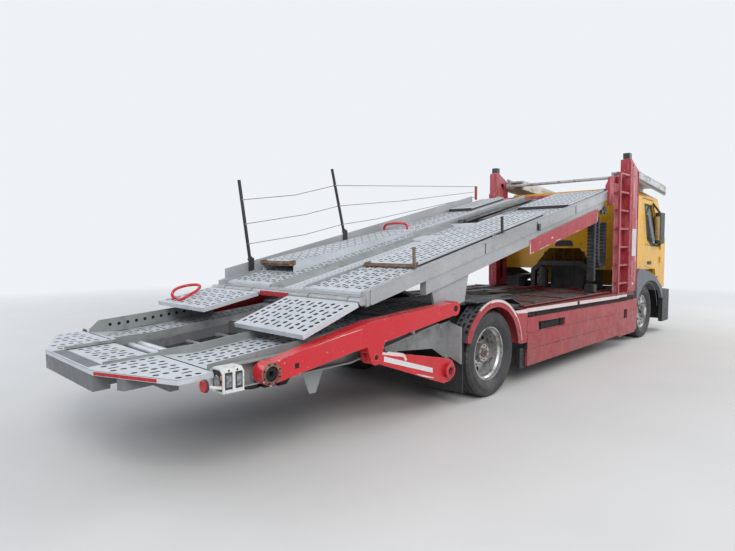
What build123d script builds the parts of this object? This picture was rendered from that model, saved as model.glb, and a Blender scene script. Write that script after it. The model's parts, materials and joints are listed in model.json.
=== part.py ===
"""Two-axle car transporter truck: tilting upper deck on half-scissor arms, lower deck and tail deck.

Millimetres. +X forward, +Y left, +Z up. The origin is on the ground under the middle of the box.
A station is a distance forward of the rear axle, and a height is above the ground.
"""

import os
from math import cos, pi, sin

from build123d import *

# Overall sizes
wheelbase = 5100.0
rear_overhang = 3700.0
front_overhang = 1400.0
body_half_width = 1250.0

# Wheels
tyre_radius = 455.0
tyre_width = 290.0
rim_radius = tyre_radius - 169.0
front_track_half = body_half_width - 220.0
twin_outer_half = body_half_width - 180.0
twin_spacing = 325.0
twin_inner_half = twin_outer_half - twin_spacing
kingpin_half = front_track_half - 200.0
hand_hole_circle = rim_radius - 71.0
disc_dish = 95.0

# Chassis rails
rail_half_spacing = 430.0
rail_top = 800.0
rail_depth = 270.0
rail_bottom = rail_top - rail_depth
rail_flange = 75.0
rail_wall = 8.0
chassis_rear = -2050.0
chassis_drop = 70.0
chassis_front = wheelbase + 600.0
# station and underside height of each cross member
cross_members = [(-1990.0, 570.0), (-600.0, 570.0), (520.0, 590.0), (1700.0, 640.0), (2900.0, 650.0),
                 (chassis_front - 60.0, 570.0)]

# Cab's rear, masts behind it, then the deck pin and the front of the decks
cab_rear = wheelbase - 630.0
mast_front = cab_rear - 70.0
mast_depth = 400.0
mast_rear = mast_front - mast_depth
pin_station = mast_rear - 240.0
deck_front = mast_rear - 460.0

# Lower deck: station and height of the running surface
hump_height = max(2 * tyre_radius + 110.0, rail_top + 220.0)
lower_deck_path = [(-rear_overhang, 790.0), (-2900.0, 812.0), (-640.0, hump_height), (420.0, hump_height),
                   (760.0, 885.0), (deck_front, 885.0)]
tail_split = -1300.0
track_inner = 385.0
track_outer = body_half_width - 195.0
track_thickness = 35.0
hump_plate = 7.7
tail_half_width = body_half_width - 90.0
tail_corner_half = 500.0
tail_corner_station = 250.0 - rear_overhang
rail_web = body_half_width - 186.0
skirt_thickness = 28.0

# Upper deck: rear and front heights of the running surface at rest
deck_rear = -1830.0
deck_rear_top = 1190.0
deck_front_top = 2425.1
deck_slope = (deck_front_top - deck_rear_top) / (deck_front - deck_rear)
deck_half_width = body_half_width - 110.0
deck_beam_width = 70.0
deck_beam_inner = deck_half_width - deck_beam_width
deck_rim = 25.0
deck_beam_depth = 95.0
deck_sub_depth = 225.0
deck_sub_step = 1090.0
deck_wall = 8.0
deck_curb = 130.0
deck_track_inner = 270.0
deck_plate = 18.0
deck_channel_drop = 60.0
pin_radius = 42.0
pin_clearance = 0.06

# Ramps: hinge station and height, length, thickness
ramp_length = 640.0
ramp_thickness = 38.0
ramp_hinge_station = deck_rear - 55.0
ramp_hinge_height = deck_rear_top - 50.0
ramp_hinge_radius = 30.0
ramp_sleeve_radius = 42.0
ramp_drop_right = 18.0
ramp_drop_left = 10.0
ramp_width = 905.0

# Half-scissor lift: fixed pivot, knee, rolling foot and deck eye, as (station, height)
lift_pivot = (-800.0, 415.0)
lift_knee = (-1830.0, 700.0)
lift_foot = (-2840.0, 741.0)
lift_eye = (-730.0, 1000.0)
arm_inner = body_half_width - 113.0
arm_width = 110.0
arm_wall = 30.0
arm_gap = 6.0
knee_pin = 30.0
eye_pin_end = arm_inner - 21.0
roller_radius = 44.0
hub_radius = 78.0
hub_bore = 52.0
crank_height = 190.0
crank_set = 70.0
cylinder_offset = 230.0
rod_radius = 22.0

# Masts behind the cab
mast_inner = body_half_width - 150.0
mast_top = 2960.0
mast_foot = 870.0
mast_wall = 12.0
ladder_rear = mast_rear - 420.0
rung_pitch = 280.0
over_cab_pivot = (mast_front - 55.0, 2735.0)
over_cab_pin = 26.0

# Cab
cab_floor = 1190.0
cab_roof = 2570.0
cab_half_width = body_half_width - 75.0
cab_wall = 55.0
cab_waist = 1650.0
cab_corner = 240.0
door_gap = 8.0
door_front = wheelbase + 830.0
nose_station = wheelbase + front_overhang
cab_nose = nose_station - 35.0
arch_station = wheelbase + 110.0
arch_half_length = 740.0
arch_half_height = 540.0

rear_axle_x = (rear_overhang - front_overhang - wheelbase) / 2
hinge_pin = 5.0
hinge_knuckle = 11.0
# X and Y of the door hinge line
hinge_at = (door_front - door_gap / 2 + rear_axle_x, cab_half_width + hinge_knuckle + 0.3)


def st(station):
    """The X of a station."""
    return station + rear_axle_x


def box(s0, s1, y0, y1, z0, z1):
    """A box between two stations, two offsets and two heights."""
    block = Box(abs(s1 - s0), abs(y1 - y0), abs(z1 - z0))
    return Pos(st((s0 + s1) / 2), (y0 + y1) / 2, (z0 + z1) / 2) * block


def side_plane(y):
    """A sketch plane seen from the right side: x is a station, y a height, and extrusion goes to -Y."""
    return Plane((rear_axle_x, y, 0), x_dir=(1, 0, 0), z_dir=(0, -1, 0))


def slab(sketch, y0, y1):
    """A side-view sketch made solid from offset y0 to offset y1."""
    return extrude(side_plane(max(y0, y1)) * sketch, abs(y1 - y0), dir=(0, -1, 0))


def front_slab(sketch, s0, s1):
    """A (y, height) sketch made solid between two stations."""
    facing = Plane((st(s0), 0, 0), x_dir=(0, 1, 0), z_dir=(1, 0, 0))
    return extrude(facing * sketch, s1 - s0, dir=(1, 0, 0))


def plan_slab(sketch, z0, z1):
    """A (station, y) sketch made solid between two heights."""
    return extrude(Plane((rear_axle_x, 0, z0)) * sketch, z1 - z0, dir=(0, 0, 1))


def outline(*points):
    """A closed outline through points."""
    return Polygon(*points, align=None)


def ahead(*points):
    """A closed outline through points whose stations are counted from the front axle."""
    return outline(*[(wheelbase + station, height) for station, height in points])


def disc(at, radius):
    """A round outline at a station and height."""
    return Pos(*at) * Circle(radius)


def rod(at, radius, y0, y1):
    """A cross-wise cylinder at a station and height."""
    return slab(disc(at, radius), y0, y1)


def tube(at, outer, inner, y0, y1):
    """A cross-wise tube."""
    return slab(disc(at, outer) - disc(at, inner), y0, y1)


def bar(start, end, width, height):
    """A square bar between two (station, y, height) points."""
    a = Vector(st(start[0]), start[1], start[2])
    b = Vector(st(end[0]), end[1], end[2])
    along = b - a
    side = (0, 1, 0) if abs(along.Y) < 0.9 * along.length else (1, 0, 0)
    return extrude(Plane(a, x_dir=side, z_dir=along) * Rectangle(width, height), along.length)


def pipe(start, end, radius):
    """A round bar between two (station, y, height) points."""
    a = Vector(st(start[0]), start[1], start[2])
    b = Vector(st(end[0]), end[1], end[2])
    along = b - a
    return extrude(Plane(a, z_dir=along) * Circle(radius), along.length)


def both(piece):
    """A piece and its mirror image on the other side."""
    return piece + mirror(piece, about=Plane.XZ)


def turned(profile, station, height):
    """A (y, radius) profile turned about the cross-wise axis at a station and height."""
    sketch = Plane((st(station), 0, height), x_dir=(0, 1, 0), z_dir=(1, 0, 0)) * profile
    return revolve(sketch, Axis((st(station), 0, height), (0, 1, 0)))


def deck_line(path, station):
    """The height of a deck path at a station."""
    for (s0, z0), (s1, z1) in zip(path, path[1:]):
        if station <= s1:
            return z0 + (z1 - z0) * (station - s0) / (s1 - s0)
    return path[-1][1]


def ribbon(path, top, bottom):
    """A side outline that follows a path between two depths below it."""
    upper = [(s, z - top) for s, z in path]
    lower = [(s, z - bottom) for s, z in reversed(path)]
    return outline(*upper, *lower)


def lower_path(start, end):
    """The stretch of the lower deck's path between two stations."""
    inside = [(s, z) for s, z in lower_deck_path if start < s < end]
    return [(start, deck_line(lower_deck_path, start)), *inside, (end, deck_line(lower_deck_path, end))]


def deck_top(station):
    """The height of the upper deck's running surface at rest."""
    return deck_rear_top + deck_slope * (station - deck_rear)


def deck_ribbon(s0, s1, top, bottom):
    """A side outline that follows the upper deck between two depths below its surface."""
    return ribbon([(s0, deck_top(s0)), (s1, deck_top(s1))], top, bottom)


def make_chassis():
    inner = rail_half_spacing - rail_flange
    low = rail_top - chassis_drop
    top = [(chassis_rear, low), (-1100, low), (-850, rail_top), (chassis_front, rail_top)]
    floor = [(chassis_rear, rail_bottom), (chassis_front, rail_bottom)]
    rail = slab(outline(*top, *reversed(floor)), rail_half_spacing - rail_wall, rail_half_spacing)
    rail += slab(ribbon(top, 0, rail_wall), inner, rail_half_spacing)
    rail += slab(ribbon(floor, -rail_wall, 0), inner, rail_half_spacing)
    rails = both(rail)
    reach = rail_half_spacing - rail_wall + 1
    for station, low in cross_members:
        rails += box(station - 45, station + 45, -reach, reach, low, rail_top - rail_wall - 80)
    # hangers of the lift's fixed pivot
    x, z = lift_pivot
    head = rail_bottom + 60
    hanger = outline((x - 130, head), (x + 130, head), (x + 85, z - 85), (x - 85, z - 85))
    hanger = slab(hanger, 330, 354) - rod(lift_pivot, hub_radius + pin_clearance, 320, 370)
    hanger += box(x - 130, x + 130, 330, rail_half_spacing - rail_wall, rail_bottom + rail_wall, head)
    return rails + both(hanger)


def make_front_axle():
    reach = kingpin_half - 210
    beam = box(wheelbase - 60, wheelbase + 60, -reach, reach, tyre_radius - 80, tyre_radius)
    boss = Pos(st(wheelbase), kingpin_half, tyre_radius) * (Cylinder(62, 130) - Cylinder(25, 140))
    neck_end = (wheelbase, kingpin_half - 30, tyre_radius)
    neck = bar((wheelbase, reach - 20, tyre_radius - 30), neck_end, 100, 80)
    neck -= Pos(st(wheelbase), kingpin_half, tyre_radius) * Cylinder(40, 300)
    return beam + both(neck + boss)


def make_rear_axle():
    reach = twin_inner_half - 185
    banjo = turned(Pos(0, 100) * Rectangle(210, 200), 0, tyre_radius)
    tube_run = rod((0, tyre_radius), 72, -reach, reach)
    nose = pipe((180, 0, tyre_radius), (420, 0, tyre_radius + 30), 95)
    shaft = pipe((400, 0, tyre_radius + 28), (wheelbase - 1902, 0, 585), 45)
    stubs = both(rod((0, tyre_radius), 60, reach - 5, twin_outer_half - 180))
    return banjo + tube_run + nose + shaft + stubs


def make_springs():
    axle = tyre_radius
    path = [(-680, rail_bottom), (-300, axle + 40), (0, axle + 30), (300, axle + 40), (590, rail_bottom)]
    leaf = ribbon([(wheelbase + s, z) for s, z in path], 0, 30)
    front = slab(leaf, rail_half_spacing - 100, rail_half_spacing - 20)
    low = axle - 125
    tall = rail_bottom - low - 32
    bellows = Pos(st(-330), rail_half_spacing - 60, rail_bottom - tall / 2) * Cylinder(120, tall)
    arm = outline((-420, low), (560, low), (640, rail_bottom), (560, rail_bottom), (500, low + 40),
                  (-420, low + 32))
    arm = slab(arm, rail_half_spacing - 90, rail_half_spacing - 20)
    seat = box(-60, 60, rail_half_spacing - 90, rail_half_spacing - 20, low + 30, axle - 72)
    return both(front) + both(bellows + arm + seat)


def make_tanks():
    along = Rot(0, 90, 0)
    round_tank = along * (Cylinder(255, 1150) + Cylinder(262, 60))
    round_tank = Pos(st(2500), body_half_width - 390, 520) * round_tank
    bracket = box(2460, 2540, rail_half_spacing, body_half_width - 610, 540, 620)
    air = Pos(st(1350), -640, 560) * along * Cylinder(140, 760)
    air_bracket = box(1310, 1390, -530, -rail_half_spacing, 550, 620)
    return (round_tank + bracket) + (air + air_bracket)


def make_engine():
    half = rail_half_spacing - 130
    block = box(wheelbase - 500, wheelbase + 460, -half, half, 590, 1330)
    gearbox = box(wheelbase - 1900, wheelbase - 499, -190, 190, 480, 780)
    foot = box(wheelbase - 300, wheelbase - 200, half - 5, rail_half_spacing - 10, rail_top, rail_top + 30)
    return block + gearbox + both(foot)


def cab_solid(inset):
    """The cab's outer form, drawn in from every face by inset: side, front and plan outlines crossed."""
    nose = cab_nose - wheelbase
    side = ahead((-630, cab_floor), (-630, cab_roof), (400, cab_roof - 10), (860, cab_roof - 100),
                 (nose - 75, 1480), (nose, 1180), (nose, 830), (700, 830), (560, cab_floor))
    half = cab_half_width
    right = [(-half, 800), (-half, cab_waist), (-half + 70, cab_roof - 110), (-half + 180, cab_roof + 1)]
    front = outline(*right, *[(-y, z) for y, z in reversed(right)])
    length = cab_nose - cab_rear
    plan = Pos(cab_rear + length / 2, 0) * RectangleRounded(length, 2 * half, cab_corner)
    plan += Pos(cab_rear + 200, 0) * Rectangle(400, 2 * half)
    if inset:
        side, front, plan = (offset(shape, -inset) for shape in (side, front, plan))
    body = slab(side, -half - 10, half + 10)
    body &= front_slab(front, cab_rear - 100, nose_station + 100)
    body &= plan_slab(plan, 700, 2800)
    tunnel = [(-500 - inset, 700), (-500 - inset, 1300 + inset), (-285 - inset, 1560 + inset)]
    tunnel = outline(*tunnel, *[(-y, z) for y, z in reversed(tunnel)])
    return body - front_slab(tunnel, cab_rear - 100, wheelbase + 750 + inset)


def door_outline(gap):
    """The door's outline in side view, drawn in by gap."""
    shape = ahead((-20, 1250), (-20, 2440), (600, 2420), (830, cab_waist), (830, 950), (725, 950),
                  (540, 1060), (300, 1190))
    return offset(shape, -gap) if gap else shape


def door_zone(gap):
    """The space of the left door and its gap: the side skin and the slanting frame, stepped inside."""
    inner = cab_half_width - cab_wall - door_gap + gap
    step = cab_half_width - 20
    zone = slab(door_outline(gap), step, cab_half_width + 200)
    zone += slab(door_outline(2 * gap), cab_half_width - 260, step)
    return zone - box(cab_rear - 100, nose_station, 800, inner, 800, cab_waist)


def window_outline(gap):
    """The door window's outline in side view, drawn in by gap."""
    shape = ahead((100, 1720), (100, 2330), (560, 2315), (750, 1660), (640, 1610), (330, 1610))
    return offset(shape, -gap) if gap else shape


def screen_prism(gap):
    """The windscreen's outline, drawn in by gap and carried through the cab's front."""
    half = cab_half_width
    shape = outline((165 - half, 1560), (215 - half, 2360), (half - 215, 2360), (half - 165, 1560))
    shape = offset(shape, -gap) if gap else shape
    return front_slab(shape, wheelbase + 800, nose_station + 150)


def hinge_leaf(height, half, way):
    """A door hinge knuckle about the hinge line, with its leaf on the cab's side, forward or back."""
    x, y = hinge_at
    bore = hinge_pin + (pin_clearance if way < 0 else -1)
    leaf = Pos(x + way * 20, cab_half_width + 3, height) * Box(40, 6, 2 * half)
    leaf += Pos(x, y, height) * Cylinder(hinge_knuckle, 2 * half)
    return leaf - Pos(x, y, height) * Cylinder(bore, 2 * half + 2)


def make_cab():
    """The cab's shell, its doors and its glass, from the same three outlines."""
    shell = cab_solid(0) - cab_solid(cab_wall)
    arch = Pos(arch_station, tyre_radius) * Ellipse(arch_half_length + 25, arch_half_height + 25)
    shell -= slab(arch, -cab_half_width - 100, cab_half_width + 100)
    body = shell - both(door_zone(0)) - screen_prism(0)
    reach = cab_half_width + 200
    door = (door_zone(door_gap) & shell) - slab(window_outline(0), 800, reach)
    for height in (1340.0, 1590.0):
        body += both(hinge_leaf(height, 20, 1) + Pos(*hinge_at, height) * Cylinder(hinge_pin, 118))
        door += hinge_leaf(height - 38.5, 18, -1) + hinge_leaf(height + 38.5, 18, -1)
    pane = (cab_solid(22) - cab_solid(28)) & slab(window_outline(0.3), 800, reach)
    screen = (cab_solid(12) - cab_solid(20)) & screen_prism(0.3)
    return body, door, pane, screen


def make_front_bumper():
    plan_half = body_half_width - 10
    lower = box(wheelbase + 860, nose_station, -plan_half, plan_half, 200, 780)
    lower -= box(wheelbase + 800, nose_station - 90, 70 - plan_half, plan_half - 70, 100, 790)
    plan = Pos(nose_station - 1500, 0) * RectangleRounded(3000, 2 * plan_half, 170)
    lower &= plan_slab(plan, 100, 1000)
    lower -= both(box(nose_station - 60, nose_station + 1, 780, 1060, 560, 700))
    grille = box(cab_nose, nose_station - 6, -620, 620, 860, 1170)
    for height in (910.0, 980.0, 1050.0, 1120.0):
        grille -= box(nose_station - 16, nose_station, -590, 590, height - 18, height + 18)
    stay = box(wheelbase + 540, nose_station - 88, rail_half_spacing, rail_half_spacing + 70, 560, 640)
    post = box(wheelbase + 800, wheelbase + 900, rail_half_spacing, rail_half_spacing + 70, 639, 830)
    return lower + both(stay + post) + grille


def make_cab_arches():
    opening = Pos(arch_station, tyre_radius) * Ellipse(arch_half_length, arch_half_height)
    cover = ahead((-614, 640), (-614, 1130), (-500, 1215), (-390, 1215), (0, 1165), (380, 1060), (660, 920),
                  (800, 860), (845, 780), (845, 640))
    lining = ahead((-600, 560), (-600, 1000), (-400, 1040), (200, 1040), (540, 960), (690, 822), (690, 560))
    half = cab_half_width
    skin = slab(cover - opening, half + 15, half + 65)
    pads = box(wheelbase - 500, wheelbase - 400, half, half + 16, 1194, 1212)
    pads += box(wheelbase + 720, wheelbase + 800, half, half + 16, 832, 856)
    return both(skin + slab(lining - opening, 900, half + 16) + pads)


def make_cab_interior():
    room = cab_solid(cab_wall + 1)
    dash = ahead((800, 1300), (780, 1480), (880, 1560), (1300, 1560), (1300, 1300))
    dash = slab(dash, -1085, 1085) & room
    column = pipe((wheelbase + 860, 650, 1500), (wheelbase + 648, 650, 1692), 35)
    wheel = Pos(st(wheelbase + 650), 650, 1690) * Rot(0, -50, 0)
    parts = dash + column + wheel * (Torus(215, 17) + Box(430, 40, 16) + Box(40, 430, 16))
    back = ahead((-270, 1500), (-140, 1500), (-220, 2200), (-340, 2200))
    for y in (-780, 780):
        seat = box(wheelbase - 220, wheelbase + 280, y - 230, y + 230, 1480, 1590)
        seat += box(wheelbase - 140, wheelbase + 200, y - 180, y + 180, cab_floor + cab_wall, 1481)
        parts += seat + slab(back, y - 220, y + 220)
    return parts


def make_mirror():
    """The left mirror, folded back along the door window on its two brackets."""
    y0 = cab_half_width + 22
    housing = box(wheelbase + 400, wheelbase + 690, y0, y0 + 95, 1640, 2190)
    housing = fillet(housing.edges().filter_by(Axis.Z), 35)
    upper = pipe((wheelbase + 560, cab_half_width - 60, 2370), (wheelbase + 600, y0 + 40, 2180), 18)
    lower = pipe((wheelbase + 745, cab_half_width - 20, 1600), (wheelbase + 670, y0 + 40, 1650), 18)
    return housing + upper + lower - cab_solid(0)


def make_cab_mount():
    right = [(-560, 850), (-560, 1180), (-380, 1330)]
    arch = outline(*right, *[(-y, z) for y, z in reversed(right)])
    right = [(-480, 840), (-480, 1150), (-345, 1255)]
    arch -= outline(*right, *[(-y, z) for y, z in reversed(right)])
    hoop = front_slab(arch, cab_rear - 140, cab_rear - 50)
    foot = box(cab_rear - 160, cab_rear - 30, 345, 570, rail_top, 851)
    rest = box(cab_rear - 140, cab_rear + 90, 510, 560, 1120, cab_floor)
    return hoop + both(foot + rest)


def make_skirts():
    panels = None
    front = wheelbase - 620
    runs = ((700, front - 840, 880, 790, 215), (front - 830, front, 790, 770, 190))
    for s0, s1, z_rear, z_front, z_low in runs:
        shape = outline((s0, z_low), (s0, z_rear), (s1, z_front), (s1, z_low))
        panel = slab(shape, body_half_width - skirt_thickness, body_half_width)
        for share in (0.33, 0.62):
            height = z_low + share * (z_rear - z_low)
            panel -= box(s0 - 5, s1 + 5, body_half_width - 5, body_half_width + 5, height - 4, height + 4)
        panels = panel if panels is None else panels + panel
    panels -= box(960, 1660, body_half_width - 60, body_half_width + 10, 590, 690)
    panels -= box(front - 650, front - 470, body_half_width - 60, body_half_width + 10, 480, 620)
    return both(panels)


def make_fenders():
    middle = (0, tyre_radius)
    crown = hump_height - hump_plate - 0.3 - tyre_radius
    band = disc(middle, crown) - disc(middle, crown - 12)
    face = disc(middle, crown + 18) - disc(middle, crown - 57)
    zone = outline((-520, 640), (-520, 1400), (690, 1400), (690, 480))
    lip = body_half_width - 12
    return both(slab(band & zone, track_outer, body_half_width) + slab(face & zone, lip, body_half_width))


def make_guard_plates():
    plate = outline((-1800, 720), (-1140, 800), (-565, 850), (-565, 440), (-850, 610), (-1800, 700))
    return both(slab(plate, rail_web - 6.3, rail_web - 0.3))


def make_mudflaps():
    return both(box(-565, -550, rail_half_spacing + 210, body_half_width - 35, 150, 800))


def make_lower_frame():
    edge = mast_inner - 15
    side = body_half_width - skirt_thickness
    beam = box(700, mast_front, edge, side, mast_foot - 130, mast_foot)
    s0, s1 = 700 + deck_wall, mast_front - deck_wall
    low, high = mast_foot - 130 + deck_wall, mast_foot - deck_wall
    beam -= box(s0, s1, edge - 1, side - deck_wall, low, high)
    frame = both(beam)
    for station in (760.0, 1500.0, 2300.0, 3100.0, deck_front + 20, mast_rear + 200):
        frame += box(station - 40, station + 40, 1 - side, side - 1, rail_top, rail_top + 50)
    inner = both(box(740, mast_front - 180, 300, 360, rail_top, 885))
    return frame + inner


def make_lower_tracks():
    path = lower_path(tail_split + 0.3, deck_front)
    track = slab(ribbon(path, 0, track_thickness), track_inner, track_outer)
    over_wheel = slab(ribbon(lower_path(-300, 640), 0, hump_plate), track_outer - 1, body_half_width - 50)
    return both(track + over_wheel)


def tail_footprint():
    """The tail deck seen from above, with its cut corners, as a tall prism."""
    right = [(-rear_overhang, -tail_corner_half), (tail_corner_station, -tail_half_width),
             (-3215, -tail_half_width), (-3215, -track_outer), (tail_split, -track_outer)]
    return plan_slab(outline(*right, *[(s, -y) for s, y in reversed(right)]), 500, 1200)


def make_tail_plates():
    path = lower_path(-rear_overhang, tail_split)
    plates = slab(ribbon(path, 0, track_thickness), -body_half_width, body_half_width) & tail_footprint()
    return plates - box(-3600, tail_split + 10, -track_inner, track_inner, 500, 1200)


def make_tail_frame():
    """The tail deck's well between the tracks, its joists under the plates and its chassis bearers."""
    path = lower_path(-rear_overhang, tail_split)
    wall = track_inner + deck_wall
    frame = both(slab(ribbon(lower_path(-3600, tail_split), track_thickness, 142), track_inner, wall))
    frame += slab(ribbon(lower_path(-3230, -2157), 130, 142), -wall, wall)
    for s0, s1 in ((-3599.7, -3230), (-2157, tail_split)):
        frame += slab(ribbon(lower_path(s0, s1), 12, 24), 0.3 - track_inner, track_inner - 0.3)
    for station in (-3230.0, -2169.0):
        height = deck_line(lower_deck_path, station)
        frame += box(station, station + 12, 0.3 - track_inner, track_inner - 0.3, height - 141, height - 14)
    for station in (-3100.0, -3020.0):
        height = deck_line(lower_deck_path, station)
        frame += rod((station, height - 62), 22, -track_inner - 1, track_inner + 1)
    rear = ribbon(lower_path(-rear_overhang, -3590), track_thickness, 142)
    frame += slab(rear, -tail_corner_half, tail_corner_half)
    frame += both(slab(ribbon(path, track_thickness, 110), 700, 760)) & tail_footprint()
    for station in (-3400.0, -2600.0):
        height = deck_line(lower_deck_path, station)
        frame += both(box(station - 30, station + 30, track_inner + 1, 1010, height - 105, height - 40))
    rest = rail_top - chassis_drop
    for station in (-1960.0, -1400.0):
        height = deck_line(lower_deck_path, station)
        frame += box(station - 40, station + 40, -760, 760, rest, height - 100)
    return frame


def make_side_rails():
    outer = outline((-3050, 660), (-3050, 822), (-2000, 840), (-840, 915), (-840, 850), (-2000, 660))
    rail = slab(outer, rail_web, rail_web + 8)
    low_path = [(-3050, 670), (-2000, 670), (-840, 860)]
    for path in ([(-3050, 822), (-2000, 840), (-840, 915)], low_path):
        rail += slab(ribbon(path, 0, 10), rail_web, rail_web + 66)
    for station in (-2350.0, -1450.0):
        left, right = (deck_line(low_path, station + run) - 2 for run in (-110, 110))
        tip = left - 185
        v = outline((station - 110, left), (station + 110, right), (station + 30, tip), (station - 30, tip))
        rail += slab(v, rail_web + 7, rail_web + 17)
    for station in (-2800.0, -2100.0):
        height = deck_line(lower_deck_path, station)
        rail += box(station - 60, station + 60, track_outer, rail_web + 1, 790, height - 14)
    return both(rail)


def make_lamps():
    side = body_half_width - 50
    housing = box(-3200, -3050, side - 110, side + 45, 675, 830)
    stalk = pipe((-3190, side, 740), (-3290, side, 740), 14)
    lamp = pipe((-3290, side - 30, 740), (-3290, side + 35, 740), 42)
    return both(housing + stalk + lamp)


def make_coupling():
    middle = Pos(st(-2190), 0, 360)
    head = box(-2120, -1880, -130, 130, 300, 420) - middle * Cylinder(60, 300)
    jaw = middle * Cylinder(90, 120) - middle * Cylinder(25, 200)
    jaw -= box(-2400, -2190, -16, 16, 330, 390)
    side = outline((-1990, 300), (-1900, 300), (-1700, 510), (-1800, 510))
    cross = box(-1830, -1670, -rail_half_spacing, rail_half_spacing, 500, rail_bottom)
    return head + jaw + both(slab(side, 129, 161)) + cross


def make_masts():
    half_depth = body_half_width - mast_inner
    shape = outline((mast_rear, mast_foot), (mast_rear, mast_top), (mast_rear + 60, mast_top),
                    (mast_front, mast_top - 150), (mast_front, mast_foot))
    mast = slab(shape, mast_inner, body_half_width)
    mast -= slab(offset(shape, -mast_wall), mast_inner + mast_wall, mast_inner + half_depth - mast_wall)
    skin = mast_inner + mast_wall + 1
    mast -= box(mast_rear + 150, mast_rear + 250, mast_inner - 5, skin, 1000, mast_top - 180)
    mast -= rod(over_cab_pivot, over_cab_pin + pin_clearance, mast_inner - 5, skin)
    inner = mast_inner + 30
    cap = box(mast_rear + 20, mast_rear + 130, inner, body_half_width - 30, mast_top - 1, mast_top + 100)
    masts = both(mast + cap)
    edge = -body_half_width
    ladder = box(ladder_rear, ladder_rear + 40, edge, edge + 30, mast_foot, 2700)
    for rung in range(7):
        height = mast_foot + 150 + rung_pitch * rung
        ladder += box(ladder_rear + 39, mast_rear + 1, edge + 2, edge + 26, height - 13, height + 13)
    web = box(ladder_rear + 39, mast_rear + 1, edge + 100, edge + 106, mast_foot, 2560)
    return masts + ladder + web


def make_carriage():
    x, z = pin_station, pin_height
    block = outline((x - 70, z - 130), (x - 70, z + 120), (x + 100, z + 270), (x + 225, z + 270),
                    (x + 225, z - 130))
    block = slab(block, mast_inner - 115, mast_inner - 15)
    shoe = box(mast_rear - 16, mast_rear + 245, mast_inner - 40, mast_inner - 0.3, z - 90, z + 240)
    key = box(mast_rear + 155, mast_rear + 245, mast_inner - 1, mast_inner + 40, z - 40, z + 190)
    cross = rod((x, z), pin_radius, 114 - mast_inner, mast_inner - 114)
    return both(block + shoe + key) + cross


def make_upper_frame():
    inner = deck_beam_inner
    web = deck_half_width - deck_wall
    end = deck_front - 60
    # C-section edge beams, open inwards below the plates
    beam = slab(deck_ribbon(deck_rear, deck_front, -deck_rim, deck_beam_depth), inner, deck_half_width)
    pocket = deck_ribbon(deck_rear + 10, deck_front - 10, deck_plate + 12, deck_beam_depth - deck_wall)
    beam -= slab(pocket, inner - 1, web)
    frame = both(beam)
    frame += slab(deck_ribbon(deck_rear + 80, deck_front - 340, -deck_curb, 0), web - 7, deck_half_width)
    # lower beams: full depth behind the step, shallower and set in ahead of it
    runs = ((-1050, deck_sub_step, deck_half_width, deck_sub_depth),
            (deck_sub_step, deck_front - 300, deck_half_width - 12, 205))
    for s0, s1, face, depth in runs:
        shape = deck_ribbon(s0, s1, deck_beam_depth - 1, depth)
        hollow = deck_ribbon(s0 + 10, s1 - 10, deck_beam_depth, depth - deck_wall)
        frame += both(slab(shape, inner, face) - slab(hollow, inner - 1, face - deck_wall))
    under = deck_channel_drop + deck_wall
    for station in (-1760.0, -900.0, 100.0, 1100.0, 2100.0, deck_front - 540, end):
        frame += slab(deck_ribbon(station - 45, station + 45, under, deck_beam_depth), -web, web)
    # ears on the carriage's cross tube
    z = pin_height
    ear = outline((end, deck_top(end) - 20), (pin_station + 70, z + 50), (pin_station + 70, z - 70),
                  (end, deck_top(end) - 150))
    ear = slab(ear + disc((pin_station, z), 80), 900, 960)
    ear -= rod((pin_station, z), pin_radius + pin_clearance, 890, 970)
    height = deck_top(end)
    front_bar = box(end, deck_front - 1, -inner - 1, inner + 1, height - 130, height - 30)
    # brackets of the lift eyes
    x, z = lift_eye
    low = z - 45
    plate = outline((x - 220, deck_top(x - 220) - 150), (x + 440, deck_top(x + 440) - 150),
                    (x + 350, low + 350 * deck_slope), (x - 110, low - 110 * deck_slope))
    bracket = slab(plate, inner + 10, inner + 40)
    hinge_line = (ramp_hinge_station, ramp_hinge_height)
    hinge = rod(hinge_line, ramp_hinge_radius, -deck_half_width, deck_half_width)
    root = deck_rear + 5
    lug = outline((root, deck_top(root) - 20), (root, deck_top(root) - 85),
                  (ramp_hinge_station, ramp_hinge_height - 25), (ramp_hinge_station, ramp_hinge_height + 25))
    for y in (260.0, deck_half_width - 30):
        frame += both(slab(lug, y - 20, y + 20))
    rear_bar = slab(deck_ribbon(deck_rear, deck_rear + 60, 20, 85), -inner - 1, inner + 1)
    return frame + both(ear + bracket) + front_bar + hinge + rear_bar


def make_upper_tracks():
    edge = deck_track_inner
    s0 = deck_rear + 62
    s1 = deck_front - 62
    track = slab(deck_ribbon(s0, s1, 0, deck_plate), edge, deck_beam_inner - 0.3)
    lip = slab(deck_ribbon(s0, s1, deck_plate - 1, deck_channel_drop), edge, edge + 8)
    floor = slab(deck_ribbon(s0, s1, deck_channel_drop, deck_channel_drop + 8), -edge - 8, edge + 8)
    return both(track + lip) + floor


def make_overlays():
    """Loose wheel plates on the upper deck: station run, offset run and rear and front heights of each."""
    table = [(-1000, 1600, -980, -330, 35, 35), (2200, deck_front - 90, -1055, -300, 40, 40),
             (-1340, 760, 430, 1000, 120, 35), (2400, deck_front - 140, 620, 1050, 45, 45)]
    plates = None
    for s0, s1, y0, y1, rear, front in table:
        path = [(s0, deck_top(s0) + rear), (s1, deck_top(s1) + front)]
        piece = slab(ribbon(path, 0, 8), y0, y1)
        lip = outline(*path, (s1, deck_top(s1)), (s0, deck_top(s0)))
        piece += slab(lip, y0, y0 + 6) + slab(lip, y1 - 6, y1)
        plates = piece if plates is None else plates + piece
    return plates


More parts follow.
